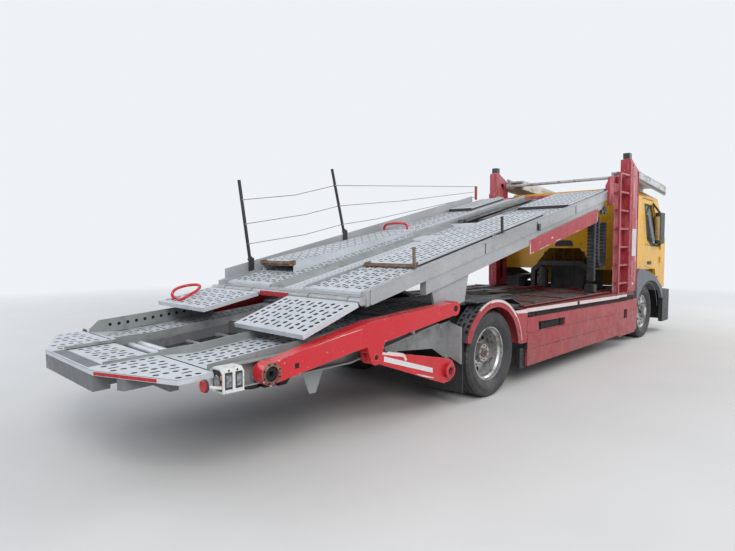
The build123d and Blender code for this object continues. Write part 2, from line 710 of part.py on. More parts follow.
def make_valances():
    shape = outline((920, deck_top(920) - 165), (2980, deck_top(2980) - 165), (2980, deck_top(2980) - 355),
                    (920, deck_top(920) - 335))
    panel = slab(shape, deck_half_width, deck_half_width + 6)
    for station in (1300.0, 2100.0, 2880.0):
        spacer = deck_ribbon(station - 30, station + 30, 168, 200)
        panel += slab(spacer, deck_half_width - 12, deck_half_width + 1)
    return both(panel)


def make_ramp(drop, y0, y1):
    """A ramp hung from the deck's rear hinge, dropped by an angle below level."""
    top = 12.0
    shape = outline((-ramp_sleeve_radius, top), (-ramp_length, 4), (-ramp_length, top - ramp_thickness),
                    (-ramp_sleeve_radius, top - ramp_thickness))
    ramp = extrude(Plane.XZ.offset(-y1) * shape, y1 - y0, dir=(0, -1, 0))
    hollow = outline((-ramp_sleeve_radius - 20, top - 8), (12 - ramp_length, -4), (12 - ramp_length, -100),
                     (-ramp_sleeve_radius - 20, -100))
    ramp -= extrude(Plane.XZ.offset(10 - y1) * hollow, y1 - y0 - 20, dir=(0, -1, 0))
    middle = (y0 + y1) / 2
    for y in (middle - 250, middle + 250):
        knuckle = Rectangle(ramp_sleeve_radius + 10, ramp_thickness, align=(Align.MAX, Align.MAX))
        knuckle = Pos(0, top) * knuckle + Circle(ramp_sleeve_radius)
        knuckle -= Circle(ramp_hinge_radius + pin_clearance)
        ramp += extrude(Plane.XZ.offset(-y - 60) * knuckle, 120, dir=(0, -1, 0))
    return Pos(st(ramp_hinge_station), 0, ramp_hinge_height) * Rot(0, -drop, 0) * ramp


def make_long_arms():
    foot, eye, knee = lift_foot, lift_eye, lift_knee
    bend = (knee[0] - 20, knee[1] + 200)
    shape = outline((foot[0], foot[1] - 72), (foot[0], foot[1] + 72), (bend[0] - 40, bend[1] + 92),
                    (eye[0], eye[1] + 60), (eye[0], eye[1] - 60), (bend[0] + 120, bend[1] - 90),
                    (bend[0] - 230, bend[1] - 120))
    shape += disc(foot, hub_radius) + disc(eye, 68) + disc(knee, 62)
    x, z = knee
    shape += outline((x - 110, z + 130), (x - 60, z - 15), (x + 60, z - 15), (x + 110, z + 130))
    shape -= disc(knee, knee_pin + pin_clearance)
    outer = arm_inner + arm_width
    arm = slab(shape, arm_inner, outer) - rod(foot, hub_bore, arm_inner + 40, outer + 1)
    # slot the short arm works in
    swing = outline((x - 80, z - 100), (x + 400, z - 140), (x + 400, z + 60), (x - 80, z + 75))
    arm -= slab(disc(knee, 75 + arm_gap) + swing, arm_inner + arm_wall, outer - arm_wall)
    roller = rod(foot, roller_radius, arm_inner - 52, arm_inner + 1)
    pin = rod(eye, 32, eye_pin_end, arm_inner + 1)
    return both(arm + roller + pin)


def make_short_arms():
    pivot, knee = lift_pivot, lift_knee
    y0 = arm_inner + arm_wall + arm_gap
    y1 = arm_inner + arm_width - arm_wall - arm_gap
    x, z = pivot
    wide = outline((knee[0], knee[1] + 44), (knee[0], knee[1] - 44), (x - 60, z - 112), (x + 40, z - 90),
                   (x + 60, z + 90), (x - 60, z + 128))
    wide += disc(knee, 56) + disc(pivot, 108)
    arm = slab(wide - disc(pivot, hub_bore), y0, y1)
    pin = rod(knee, knee_pin, arm_inner - 4, arm_inner + arm_width + 3)
    torsion = tube(pivot, hub_radius, hub_bore, 0, y0 + 1)
    tip = (x - crank_set, z + crank_height)
    crank = outline((x - 60, z), (x + 60, z), (tip[0] + 45, tip[1]), (tip[0] - 45, tip[1])) + disc(tip, 45)
    near = cylinder_offset - 60
    crank = slab(crank, near, near + 30) - rod(pivot, hub_radius - 5, near - 10, near + 40)
    crank += rod(tip, 10, near + 29, cylinder_offset + 24)
    return both(arm + pin + torsion + crank)


def make_lift_barrels():
    height = lift_pivot[1] + crank_height
    y = cylinder_offset
    rear = lift_pivot[0] - 1100
    barrel = pipe((rear, y, height), (rear + 640, y, height), 34)
    barrel -= pipe((rear + 260, y, height), (rear + 650, y, height), rod_radius + pin_clearance)
    lug = box(rear - 45, rear + 20, y - 30, y + 30, height - 30, height + 45)
    return both(barrel + lug)


def make_lift_rods():
    height = lift_pivot[1] + crank_height
    y = cylinder_offset
    eye = tube((lift_pivot[0] - crank_set, height), 42, 26, y - 20, y + 20)
    shaft = pipe((lift_pivot[0] - 800, y, height), (lift_pivot[0] - crank_set - 35, y, height), rod_radius)
    return both(eye + shaft)


def make_over_cab():
    x, z = over_cab_pivot
    path = [(x + 105, z + 100), (x + 1715, z - 35)]
    track = slab(ribbon(path, 0, 165), body_half_width - 450, body_half_width - 35)
    inside = ribbon([(x + 55, z + 103), (x + 1755, z - 38)], 20, 200)
    track -= slab(inside, body_half_width - 420, body_half_width - 65)
    arm = outline((x, z - 45), (x, z + 45), (x + 115, z + 97), (x + 415, z + 72), (x + 415, z + 35),
                  (x + 155, z - 35))
    arm = slab(arm + disc(over_cab_pivot, 45), mast_inner - 42, mast_inner - 10)
    reach = mast_inner + mast_wall - 1
    return both(track + arm) + rod(over_cab_pivot, over_cab_pin, -reach, reach)


def tyre_profile(width):
    """A tyre's section: flat crown, cut shoulders and bowed side walls."""
    half = width / 2
    seat = half * 0.62
    bulge = rim_radius + 0.544 * (tyre_radius - rim_radius)
    bead = Polyline((-seat, rim_radius), (seat, rim_radius))
    shoulder, tread, low = half * 0.86, half * 0.76, tyre_radius - 14
    crown = Polyline((shoulder, low), (tread, tyre_radius), (-tread, tyre_radius), (-shoulder, low))
    right = ThreePointArc((seat, rim_radius), (half, bulge), (shoulder, low))
    left = ThreePointArc((-shoulder, low), (-half, bulge), (-seat, rim_radius))
    return make_face([bead.edges()[0], right, *crown.edges(), left])


def make_tyre(station, y):
    return Pos(0, y, 0) * turned(tyre_profile(tyre_width), station, tyre_radius)


def rim_profile(dish):
    """A rim's section: stepped barrel with turned edges, and a bowed disc standing at dish."""
    half = tyre_width / 2
    edge = half * 0.7
    r = rim_radius
    barrel = outline((-edge, r - 14), (-edge, r - 0.3), (edge, r - 0.3), (edge, r - 14), (edge - 30, r - 16),
                     (edge - 50, r - 34), (50 - edge, r - 34), (30 - edge, r - 16))
    back = -1 if dish > 0 else 1
    thin = dish - 12
    bow = back * 22
    face = outline((thin, 84), (thin, 165), (thin + bow, r - 12), (dish + bow, r - 12), (dish, 165),
                   (dish, 84))
    return barrel + face


def make_rim(station, y, dish, holes):
    rim = turned(rim_profile(dish), station, tyre_radius)
    for k in range(holes):
        angle = 2 * pi * k / holes
        at = (station + hand_hole_circle * cos(angle), tyre_radius + hand_hole_circle * sin(angle))
        rim -= rod(at, 27, dish - 45, dish + 45)
    return Pos(0, y, 0) * rim


def make_front_wheel():
    hub_at = (wheelbase, tyre_radius)
    y = front_track_half
    rim = make_rim(wheelbase, y, disc_dish + 10, 10)
    hub = rod(hub_at, 110, y + 40, y + 118) + rod(hub_at, 75, y + 110, y + 165)
    hub -= rod(hub_at, 45 + pin_clearance, y, y + 100)
    return rim + hub, make_tyre(wheelbase, y)


def make_rear_wheels():
    hub_at = (0, tyre_radius)
    inner, outer = twin_inner_half, twin_outer_half
    rims = make_rim(0, outer, -disc_dish, 10) + make_rim(0, inner, disc_dish, 0)
    hub = rod(hub_at, 150, inner + 60, outer - 80) + rod(hub_at, 95, outer - 90, outer + 40)
    hub -= rod(hub_at, 60 + pin_clearance, 400, outer - 175)
    return rims + hub, make_tyre(0, outer) + make_tyre(0, inner)


def make_knuckle():
    s, y, z = wheelbase, kingpin_half, tyre_radius
    pin = Pos(st(s), y, z) * Cylinder(25 - pin_clearance, 190)
    plates = box(s - 60, s + 60, y - 50, y + 75, z - 110, z - 70)
    plates += box(s - 60, s + 60, y - 50, y + 75, z + 70, z + 110)
    back = box(s - 60, s + 60, y + 70, y + 100, z - 110, z + 110)
    spindle = rod((s, z), 45, y + 98, front_track_half + 95)
    steer_arm = box(s - 230, s - 50, y - 40, y, z - 105, z - 75)
    return pin + plates + back + spindle + steer_arm


pin_height = deck_top(pin_station) - 55.7


def main():
    cab, door, pane, screen = make_cab()
    rim_front, tyre_front = make_front_wheel()
    rims_rear, tyres_rear = make_rear_wheels()
    ramp_inner = deck_half_width - ramp_width
    nodes = {
        "chassis_frame": make_chassis(),
        "front_axle": make_front_axle(),
        "rear_axle": make_rear_axle(),
        "suspension_springs": make_springs(),
        "engine_block": make_engine(),
        "tanks": make_tanks(),
        "cab_body": cab,
        "windscreen": screen,
        "front_bumper": make_front_bumper(),
        "cab_arches": make_cab_arches(),
        "cab_interior": make_cab_interior(),
        "cab_mount": make_cab_mount(),
        "side_skirts": make_skirts(),
        "rear_fenders": make_fenders(),
        "guard_plates": make_guard_plates(),
        "mudflaps": make_mudflaps(),
        "lower_deck_frame": make_lower_frame(),
        "lower_deck_tracks": make_lower_tracks(),
        "tail_plates": make_tail_plates(),
        "tail_frame": make_tail_frame(),
        "side_rails": make_side_rails(),
        "rear_lamps": make_lamps(),
        "tow_coupling": make_coupling(),
        "masts": make_masts(),
        "mast_carriage": make_carriage(),
        "upper_deck_frame": make_upper_frame(),
        "upper_deck_tracks": make_upper_tracks(),
        "deck_overlays": make_overlays(),
        "deck_valances": make_valances(),
        "ramp_right": make_ramp(ramp_drop_right, -deck_half_width, -ramp_inner),
        "ramp_left": make_ramp(ramp_drop_left, ramp_inner, deck_half_width),
        "long_arms": make_long_arms(),
        "short_arms": make_short_arms(),
        "lift_barrels": make_lift_barrels(),
        "lift_rods": make_lift_rods(),
        "over_cab_tracks": make_over_cab(),
    }
    paired = {
        "door": door,
        "door_glass": pane,
        "mirror": make_mirror(),
        "rim_front": rim_front,
        "tyre_front": tyre_front,
        "rims_rear": rims_rear,
        "tyres_rear": tyres_rear,
        "knuckle": make_knuckle(),
    }
    for name, piece in paired.items():
        nodes[name + "_left"] = piece
        nodes[name + "_right"] = mirror(piece, about=Plane.XZ)
    os.makedirs("parts", exist_ok=True)
    for name, piece in nodes.items():
        export_step(piece, f"parts/{name}.step")


main()
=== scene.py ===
"""Looks for the car transporter truck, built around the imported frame.

Metres. +X forward, +Y left, +Z up. A station is a distance forward of the rear axle.
"""

import json
import math

import bmesh
import bpy
from mathutils import Matrix, Vector
from mathutils.geometry import delaunay_2d_cdt


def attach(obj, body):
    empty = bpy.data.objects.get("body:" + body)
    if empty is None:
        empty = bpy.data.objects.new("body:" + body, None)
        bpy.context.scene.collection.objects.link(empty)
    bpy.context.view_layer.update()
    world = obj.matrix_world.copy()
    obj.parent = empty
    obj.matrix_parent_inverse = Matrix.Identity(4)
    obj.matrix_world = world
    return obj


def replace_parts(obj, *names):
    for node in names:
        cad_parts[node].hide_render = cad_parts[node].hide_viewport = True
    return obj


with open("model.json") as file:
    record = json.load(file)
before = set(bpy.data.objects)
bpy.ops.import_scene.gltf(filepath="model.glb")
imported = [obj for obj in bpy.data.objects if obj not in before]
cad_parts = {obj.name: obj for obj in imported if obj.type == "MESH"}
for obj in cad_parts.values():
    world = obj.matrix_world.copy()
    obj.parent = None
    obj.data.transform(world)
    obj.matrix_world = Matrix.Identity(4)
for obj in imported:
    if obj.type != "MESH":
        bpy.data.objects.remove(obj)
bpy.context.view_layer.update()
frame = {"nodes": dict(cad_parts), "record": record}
nodes = frame["nodes"]

REAR_AXLE_X = -1.4
WHEELBASE = 5.1
AXLE_HEIGHT = 0.455
BODY_HALF = 1.25
CAB_SIDE = 1.175

# The upper deck: its slope, plates and lanes, centre channel, side beams and the ramps' hinge
DECK_SLOPE = 0.230
DECK_REAR = -1.83
DECK_REAR_TOP = 1.19
DECK_START, DECK_END = -1.768, 3.478
LANE_PITCH, LANE_WIDTH = 0.2657, 0.2585
CHANNEL_HALF = 0.271
BEAM_FACE = 1.1405
RAMP_HINGE = (-1.885, 1.14)

# The over-cab frame: where it starts, how high, and its fall towards the front
OVER_CAB_REAR, OVER_CAB_TOP, OVER_CAB_SLOPE = 4.45, 2.835, 0.0839

# The lower deck and the tail deck with its cut corners
LOWER_PATH = [(-3.70, 0.790), (-2.90, 0.812), (-0.64, 1.020), (0.42, 1.020), (0.76, 0.885), (3.54, 0.885)]
TRACK_START, TRACK_END = -1.2997, 3.54
CHANNEL_EDGE = 0.386
TAIL_END, TAIL_BEND, TAIL_STEP = -3.6995, -3.45, -3.2165
TAIL_CUT, TAIL_WIDE = 0.500, 1.1595

# Radius of the perforated sheets over the rear wheels
FENDER_SHEET = 0.5605

# Perforated plates: hole sizes, their thickness and the depths of the painted shade pan under them
HOLE_PITCH = 0.064
HOLE = 0.0225
SLOT_LONG = 0.036
SLOT_WIDE = 0.0132
SHEET = 0.0015
SHADE_PAN = (0.0019, 0.0040)

# The camera fitted to the photograph, and the background
PHOTO_WIDTH, FOCAL_PIXELS, SENSOR = 735.0, 530.0, 36.0
CAMERA_PLACE = (-6.292, -4.106, 1.58)
CAMERA_DOWN, CAMERA_TURN = 3.078, 43.997
BACKGROUND = (0.86, 0.89, 0.93)


def deck_top(station):
    """Height of the upper deck's running surface."""
    return DECK_REAR_TOP + DECK_SLOPE * (station - DECK_REAR)


def lower_top(station):
    """Height of the lower and tail decks' running surface."""
    for (s0, z0), (s1, z1) in zip(LOWER_PATH, LOWER_PATH[1:]):
        if station <= s1:
            return z0 + (z1 - z0) * (station - s0) / (s1 - s0)
    return LOWER_PATH[-1][1]


def at(station, y, z):
    """The shared-frame point of a station, an offset and a height."""
    return Vector((station + REAR_AXLE_X, y, z))


# Materials


class Surface:
    """A node material whose colour is built up in layers over object coordinates."""

    def __init__(self, name, base, rough, metal=0.0):
        self.material = bpy.data.materials.new(name)
        self.material.use_nodes = True
        self.tree = self.material.node_tree
        self.shader = self.tree.nodes["Principled BSDF"]
        self.shader.inputs["Metallic"].default_value = metal
        self.shader.inputs["Roughness"].default_value = rough
        self.coords = self.tree.nodes.new("ShaderNodeTexCoord").outputs["Object"]
        plain = self.tree.nodes.new("ShaderNodeRGB")
        plain.outputs[0].default_value = (*base, 1)
        self.colour = plain.outputs[0]
        self.rough = rough
        self.shader.inputs["Base Color"].default_value = (*base, 1)
        self.link(self.colour, self.shader.inputs["Base Color"])

    def link(self, a, b):
        self.tree.links.new(a, b)

    def noise(self, scale, detail, stretch=(1, 1, 1)):
        mapping = self.tree.nodes.new("ShaderNodeMapping")
        mapping.inputs["Scale"].default_value = stretch
        self.link(self.coords, mapping.inputs["Vector"])
        noise = self.tree.nodes.new("ShaderNodeTexNoise")
        noise.inputs["Scale"].default_value = scale
        noise.inputs["Detail"].default_value = detail
        noise.inputs["Roughness"].default_value = 0.55
        self.link(mapping.outputs[0], noise.inputs["Vector"])
        return noise.outputs["Fac"]

    def ramp(self, value, low, high, top=1.0, bottom=0.0):
        node = self.tree.nodes.new("ShaderNodeMapRange")
        node.inputs["From Min"].default_value = low
        node.inputs["From Max"].default_value = high
        node.inputs["To Min"].default_value = bottom
        node.inputs["To Max"].default_value = top
        self.link(value, node.inputs["Value"])
        return node.outputs["Result"]

    def times(self, a, b):
        node = self.tree.nodes.new("ShaderNodeMath")
        node.operation = "MULTIPLY"
        self.link(a, node.inputs[0])
        self.link(b, node.inputs[1])
        return node.outputs[0]

    def height(self, low, high, top, bottom):
        node = self.tree.nodes.new("ShaderNodeSeparateXYZ")
        self.link(self.coords, node.inputs[0])
        return self.ramp(node.outputs["Z"], low, high, top, bottom)

    def edges(self, radius):
        low, high = 0.02, 0.25
        bevel = self.tree.nodes.new("ShaderNodeBevel")
        bevel.samples = 4
        bevel.inputs["Radius"].default_value = radius
        normal = self.tree.nodes.new("ShaderNodeNewGeometry").outputs["Normal"]
        dot = self.tree.nodes.new("ShaderNodeVectorMath")
        dot.operation = "DOT_PRODUCT"
        self.link(bevel.outputs[0], dot.inputs[0])
        self.link(normal, dot.inputs[1])
        return self.ramp(dot.outputs["Value"], 1.0 - low, 1.0 - high)

    def layer(self, colour, mask):
        mix = self.tree.nodes.new("ShaderNodeMix")
        mix.data_type = "RGBA"
        self.link(mask, mix.inputs["Factor"])
        self.link(self.colour, mix.inputs["A"])
        mix.inputs["B"].default_value = (*colour, 1)
        self.colour = mix.outputs["Result"]
        self.link(self.colour, self.shader.inputs["Base Color"])
        return self

    def mottle(self, colour, scale, low, high, strength, stretch=(1, 1, 1)):
        return self.layer(colour, self.ramp(self.noise(scale, 6.0, stretch), low, high, strength))

    def worn(self, colour, radius, amount):
        patchy = self.ramp(self.noise(14.0, 6.0), 0.42, 0.56, amount)
        return self.layer(colour, self.times(self.edges(radius), patchy))

    def dusty(self, colour, low, high, strength):
        patchy = self.ramp(self.noise(5.0, 6.0, (1, 1, 0.4)), 0.3, 0.62)
        return self.layer(colour, self.times(self.height(low, high, 0.0, strength), patchy))

    def uneven(self, spread, scale=9.0):
        most, least = min(self.rough + spread, 1.0), max(self.rough - spread, 0.03)
        value = self.ramp(self.noise(scale, 5.0), 0.3, 0.7, most, least)
        self.link(value, self.shader.inputs["Roughness"])
        return self

    def bump(self, scale, distance, strength):
        node = self.tree.nodes.new("ShaderNodeBump")
        node.inputs["Distance"].default_value = distance
        node.inputs["Strength"].default_value = strength
        self.link(self.noise(scale, 4.0), node.inputs["Height"])
        self.link(node.outputs[0], self.shader.inputs["Normal"])
        return self

    def set(self, socket, value):
        self.shader.inputs[socket].default_value = value
        return self


def painted(name, base, faded, chip, dust, rough, dust_top, dust_strength, coat=0.12, streak=0.0):
    """Old vehicle paint: faded clouds, rain streaks, chips, worn edges and road dust low down."""
    paint = Surface(name, base, rough)
    paint.mottle(faded, 1.7, 0.42, 0.75, 0.45)
    paint.mottle([c * 0.62 for c in base], 5.0, 0.52, 0.78, 0.4, (1, 1, 0.25))
    if streak:
        paint.mottle(faded, 7.0, 0.50, 0.66, streak, (1, 1, 0.12))
        paint.mottle([min(1.0, c * 1.25 + 0.05) for c in faded], 18.0, 0.60, 0.68, streak, (1, 1, 0.10))
    paint.mottle(chip, 26.0, 0.69, 0.72, 0.85)
    paint.worn(chip, 0.006, 0.9)
    paint.dusty(dust, 0.1, dust_top, dust_strength)
    paint.uneven(0.14).bump(60.0, 0.0006, 0.25)
    paint.set("Coat Weight", coat)
    paint.set("Specular IOR Level", 0.35)
    return paint.material


def layered(name, base, rough, metal, layers, worn=None, bump=(100.0, 0.0006, 0.35)):
    """A plain finish with clouds, blotches and spots over it."""
    finish = Surface(name, base, rough, metal)
    for layer in layers:
        finish.mottle(*layer)
    if worn:
        finish.worn(*worn)
    finish.uneven(0.12, 16.0).bump(*bump)
    return finish.material


UPRIGHT = (1, 1, 0.25)
ALONG = (0.2, 1, 1)


def make_materials():
    dust = (0.20, 0.17, 0.15)
    soot = (0.08, 0.07, 0.06)
    # Name: colour, faded colour, chip colour, dust colour, then painted's other values in order
    paints = {
        "red_paint": ((0.40, 0.022, 0.034), (0.46, 0.075, 0.085), (0.50, 0.42, 0.40), dust,
                      0.40, 1.0, 0.45),
        "skirt_red": ((0.35, 0.018, 0.030), (0.43, 0.060, 0.075), (0.60, 0.48, 0.46), dust,
                      0.42, 0.9, 0.40, 0.1, 0.25),
        "mast_red": ((0.32, 0.014, 0.026), (0.52, 0.16, 0.18), (0.60, 0.36, 0.36), dust,
                     0.42, 1.2, 0.30, 0.1, 0.55),
        "arm_red": ((0.56, 0.016, 0.026), (0.62, 0.045, 0.05), (0.44, 0.36, 0.34), dust,
                    0.33, 0.55, 0.25, 0.2),
        "red_frame": ((0.20, 0.012, 0.018), (0.24, 0.045, 0.05), (0.16, 0.12, 0.10), soot,
                      0.5, 1.6, 0.6),
        "yellow_paint": ((0.76, 0.40, 0.010), (0.70, 0.40, 0.05), (0.36, 0.25, 0.10), dust,
                         0.34, 1.5, 0.3, 0.2),
        "black_paint": ((0.018, 0.018, 0.020), (0.045, 0.042, 0.04), (0.12, 0.08, 0.05), (0.09, 0.08, 0.07),
                        0.55, 1.2, 0.7),
        "black_steel": ((0.020, 0.022, 0.026), (0.06, 0.062, 0.066), (0.22, 0.21, 0.20), soot,
                        0.5, 1.0, 0.4),
        "worn_white": ((0.72, 0.58, 0.57), (0.74, 0.70, 0.69), (0.42, 0.06, 0.07), dust,
                       0.5, 0.4, 0.2, 0.0, 0.3),
    }
    # Name: colour, roughness, metal, layers over it, worn edges and bump
    plain = {
        "galvanised": ((0.37, 0.38, 0.395), 0.5, 0.25, (
            ((0.50, 0.51, 0.53), 3.1, 0.45, 0.7, 0.5), ((0.20, 0.205, 0.21), 2.3, 0.5, 0.78, 0.6, ALONG),
            ((0.28, 0.285, 0.29), 38.0, 0.52, 0.66, 0.4), ((0.17, 0.13, 0.10), 8.0, 0.63, 0.76, 0.45)),
            ((0.62, 0.63, 0.64), 0.004, 0.6)),
        "deck_plate": ((0.57, 0.60, 0.64), 0.5, 0.15, (
            ((0.70, 0.73, 0.78), 2.4, 0.45, 0.7, 0.5), ((0.38, 0.40, 0.43), 3.3, 0.52, 0.76, 0.55, ALONG),
            ((0.46, 0.48, 0.51), 30.0, 0.52, 0.66, 0.35), ((0.26, 0.21, 0.17), 9.0, 0.66, 0.78, 0.4)),
            ((0.78, 0.80, 0.82), 0.003, 0.5)),
        "dark_track": ((0.060, 0.066, 0.075), 0.6, 0.3, (
            ((0.16, 0.17, 0.18), 5.0, 0.5, 0.72, 0.55), ((0.10, 0.07, 0.05), 9.0, 0.55, 0.75, 0.5)),
            ((0.28, 0.29, 0.30), 0.004, 0.6)),
        "dark_plate": ((0.105, 0.115, 0.13), 0.55, 0.3, (
            ((0.24, 0.255, 0.27), 4.0, 0.48, 0.72, 0.6), ((0.06, 0.055, 0.05), 7.0, 0.52, 0.72, 0.6, ALONG),
            ((0.13, 0.09, 0.06), 13.0, 0.6, 0.74, 0.5)),
            ((0.34, 0.35, 0.36), 0.004, 0.6)),
        # Near-black painted shade: under perforated plates and behind gaps, holes and slots, where there is
        # only shade; some black bolts share it
        "painted_shade_black": ((0.006, 0.006, 0.008), 0.9, 0.0, (
            ((0.014, 0.013, 0.012), 6.0, 0.45, 0.7, 0.6),)),
        # A darker copy of the galvanised grey, for the frame and channel under the tail deck: painted shade
        "galvanised_painted_shade": ((0.15, 0.16, 0.17), 0.6, 0.2, (
            ((0.26, 0.265, 0.27), 4.0, 0.48, 0.72, 0.6), ((0.08, 0.065, 0.05), 9.0, 0.55, 0.72, 0.6)),
            ((0.32, 0.33, 0.34), 0.004, 0.6)),
        "weathered_grey": ((0.50, 0.51, 0.52), 0.5, 0.1, (
            ((0.25, 0.26, 0.26), 4.5, 0.48, 0.66, 0.75, (0.5, 1, 2.5)),
            ((0.09, 0.08, 0.07), 11.0, 0.56, 0.64, 0.75),
            ((0.62, 0.63, 0.65), 3.0, 0.5, 0.7, 0.5)), ((0.22, 0.20, 0.18), 0.005, 0.8)),
        "guard_grey": ((0.27, 0.29, 0.29), 0.48, 0.3, (
            ((0.40, 0.41, 0.41), 3.0, 0.45, 0.7, 0.6, UPRIGHT), ((0.13, 0.13, 0.13), 6.0, 0.56, 0.72, 0.6),
            ((0.16, 0.10, 0.06), 12.0, 0.66, 0.74, 0.6)), ((0.45, 0.46, 0.46), 0.004, 0.6)),
        "dark_metal": ((0.042, 0.042, 0.045), 0.62, 0.3, (
            ((0.12, 0.10, 0.085), 4.0, 0.45, 0.7, 0.7), ((0.13, 0.065, 0.03), 11.0, 0.56, 0.7, 0.6)),
            None, (110.0, 0.001, 0.5)),
        "tank_alloy": ((0.42, 0.43, 0.44), 0.4, 0.7, (((0.20, 0.18, 0.16), 5.0, 0.48, 0.72, 0.7),)),
        "black_plastic": ((0.024, 0.025, 0.027), 0.5, 0.0, (
            ((0.065, 0.062, 0.06), 3.5, 0.45, 0.75, 0.6), ((0.12, 0.11, 0.10), 20.0, 0.68, 0.74, 0.5)),
            None, (240.0, 0.0005, 0.4)),
        "grey_plastic": ((0.115, 0.13, 0.145), 0.5, 0.0, (
            ((0.17, 0.18, 0.19), 3.0, 0.45, 0.75, 0.5),
            ((0.20, 0.175, 0.15), 7.0, 0.58, 0.76, 0.5, UPRIGHT)),
            None, (220.0, 0.0005, 0.4)),
        "black_rubber": ((0.022, 0.023, 0.025), 0.7, 0.0, (
            ((0.075, 0.07, 0.065), 4.0, 0.45, 0.75, 0.6, UPRIGHT),), None, (120.0, 0.0008, 0.4)),
        "tyre_rubber": ((0.036, 0.037, 0.040), 0.66, 0.0, (
            ((0.10, 0.095, 0.09), 6.0, 0.44, 0.74, 0.55), ((0.16, 0.15, 0.135), 26.0, 0.62, 0.74, 0.35)),
            None, (180.0, 0.0008, 0.4)),
        "white_lamp": ((0.66, 0.67, 0.66), 0.4, 0.0, (
            ((0.36, 0.35, 0.33), 12.0, 0.5, 0.72, 0.6), ((0.12, 0.11, 0.10), 22.0, 0.6, 0.68, 0.7)),
            ((0.22, 0.20, 0.18), 0.004, 0.8)),
        "chrome_rod": ((0.62, 0.63, 0.65), 0.16, 1.0, (((0.40, 0.38, 0.34), 30.0, 0.55, 0.75, 0.5, ALONG),)),
        "wheel_alloy": ((0.52, 0.53, 0.54), 0.34, 0.6, (
            ((0.22, 0.19, 0.165), 6.0, 0.46, 0.66, 0.75), ((0.15, 0.085, 0.045), 12.0, 0.55, 0.66, 0.8),
            ((0.06, 0.05, 0.045), 30.0, 0.60, 0.68, 0.6)), ((0.66, 0.67, 0.68), 0.004, 0.6)),
        "rusty": ((0.16, 0.095, 0.06), 0.75, 0.1, (
            ((0.30, 0.25, 0.21), 16.0, 0.48, 0.66, 0.8), ((0.06, 0.035, 0.022), 30.0, 0.5, 0.7, 0.7)),
            None, (150.0, 0.001, 0.6)),
        "red_lamp": ((0.50, 0.006, 0.012), 0.2, 0.0, (((0.24, 0.004, 0.006), 60.0, 0.48, 0.55, 0.6),), None,
                     (320.0, 0.0006, 0.6)),
        "clear_lamp": ((0.30, 0.32, 0.34), 0.12, 0.4, (((0.10, 0.11, 0.12), 40.0, 0.46, 0.58, 0.7),), None,
                       (260.0, 0.0008, 0.6)),
        "amber_lamp": ((0.62, 0.19, 0.01), 0.2, 0.0, (((0.40, 0.10, 0.01), 70.0, 0.5, 0.58, 0.6),), None,
                       (300.0, 0.0006, 0.6)),
        "chain_black": ((0.030, 0.034, 0.040), 0.45, 0.1, (
            ((0.085, 0.09, 0.095), 9.0, 0.45, 0.72, 0.6),), ((0.16, 0.17, 0.18), 0.004, 0.7)),
        "wire_grey": ((0.22, 0.23, 0.24), 0.4, 0.6, (((0.10, 0.09, 0.08), 20.0, 0.5, 0.7, 0.6),)),
        "strip_white": ((0.74, 0.74, 0.75), 0.35, 0.0, (
            ((0.52, 0.53, 0.56), 150.0, 0.44, 0.56, 0.7), ((0.34, 0.30, 0.29), 16.0, 0.60, 0.72, 0.5)), None,
            (260.0, 0.0004, 0.4)),
        "label_white": ((0.62, 0.62, 0.62), 0.5, 0.0, (((0.46, 0.36, 0.35), 7.0, 0.46, 0.68, 0.6),), None,
                        (80.0, 0.0003, 0.3)),
    }
    made = {name: painted(name, *values) for name, values in paints.items()}
    made.update({name: layered(name, *values) for name, values in plain.items()})

    glass = Surface("cab_glass", (0.05, 0.07, 0.065), 0.06)
    glass.mottle((0.09, 0.10, 0.095), 2.5, 0.4, 0.75, 0.6)
    glass.set("Transmission Weight", 0.75).set("IOR", 1.45).set("Alpha", 0.62)
    made["cab_glass"] = glass.material
    return made


materials = make_materials()

# The nodes that look different from their material slot; the tail frame's darker grey is painted shade
NODE_LOOKS = {"long_arms": "arm_red", "short_arms": "arm_red", "masts": "mast_red",
              "mast_carriage": "mast_red", "guard_plates": "guard_grey", "side_rails": "guard_grey",
              "deck_valances": "skirt_red", "rear_fenders": "skirt_red", "tail_frame": "galvanised_painted_shade"}

for entry in frame["record"]["subparts"]:
    node = nodes[entry["node"]]
    node.data.materials.clear()
    node.data.materials.append(materials[NODE_LOOKS.get(entry["node"], entry["material_slot"])])


# Mesh building


def loft_faces(count):
    """The two end caps and the walls between two loops of count points each."""
    faces = [list(range(count)), list(reversed(range(count, 2 * count)))]
    return faces + [[(i + 1) % count, i, i + count, (i + 1) % count + count] for i in range(count)]


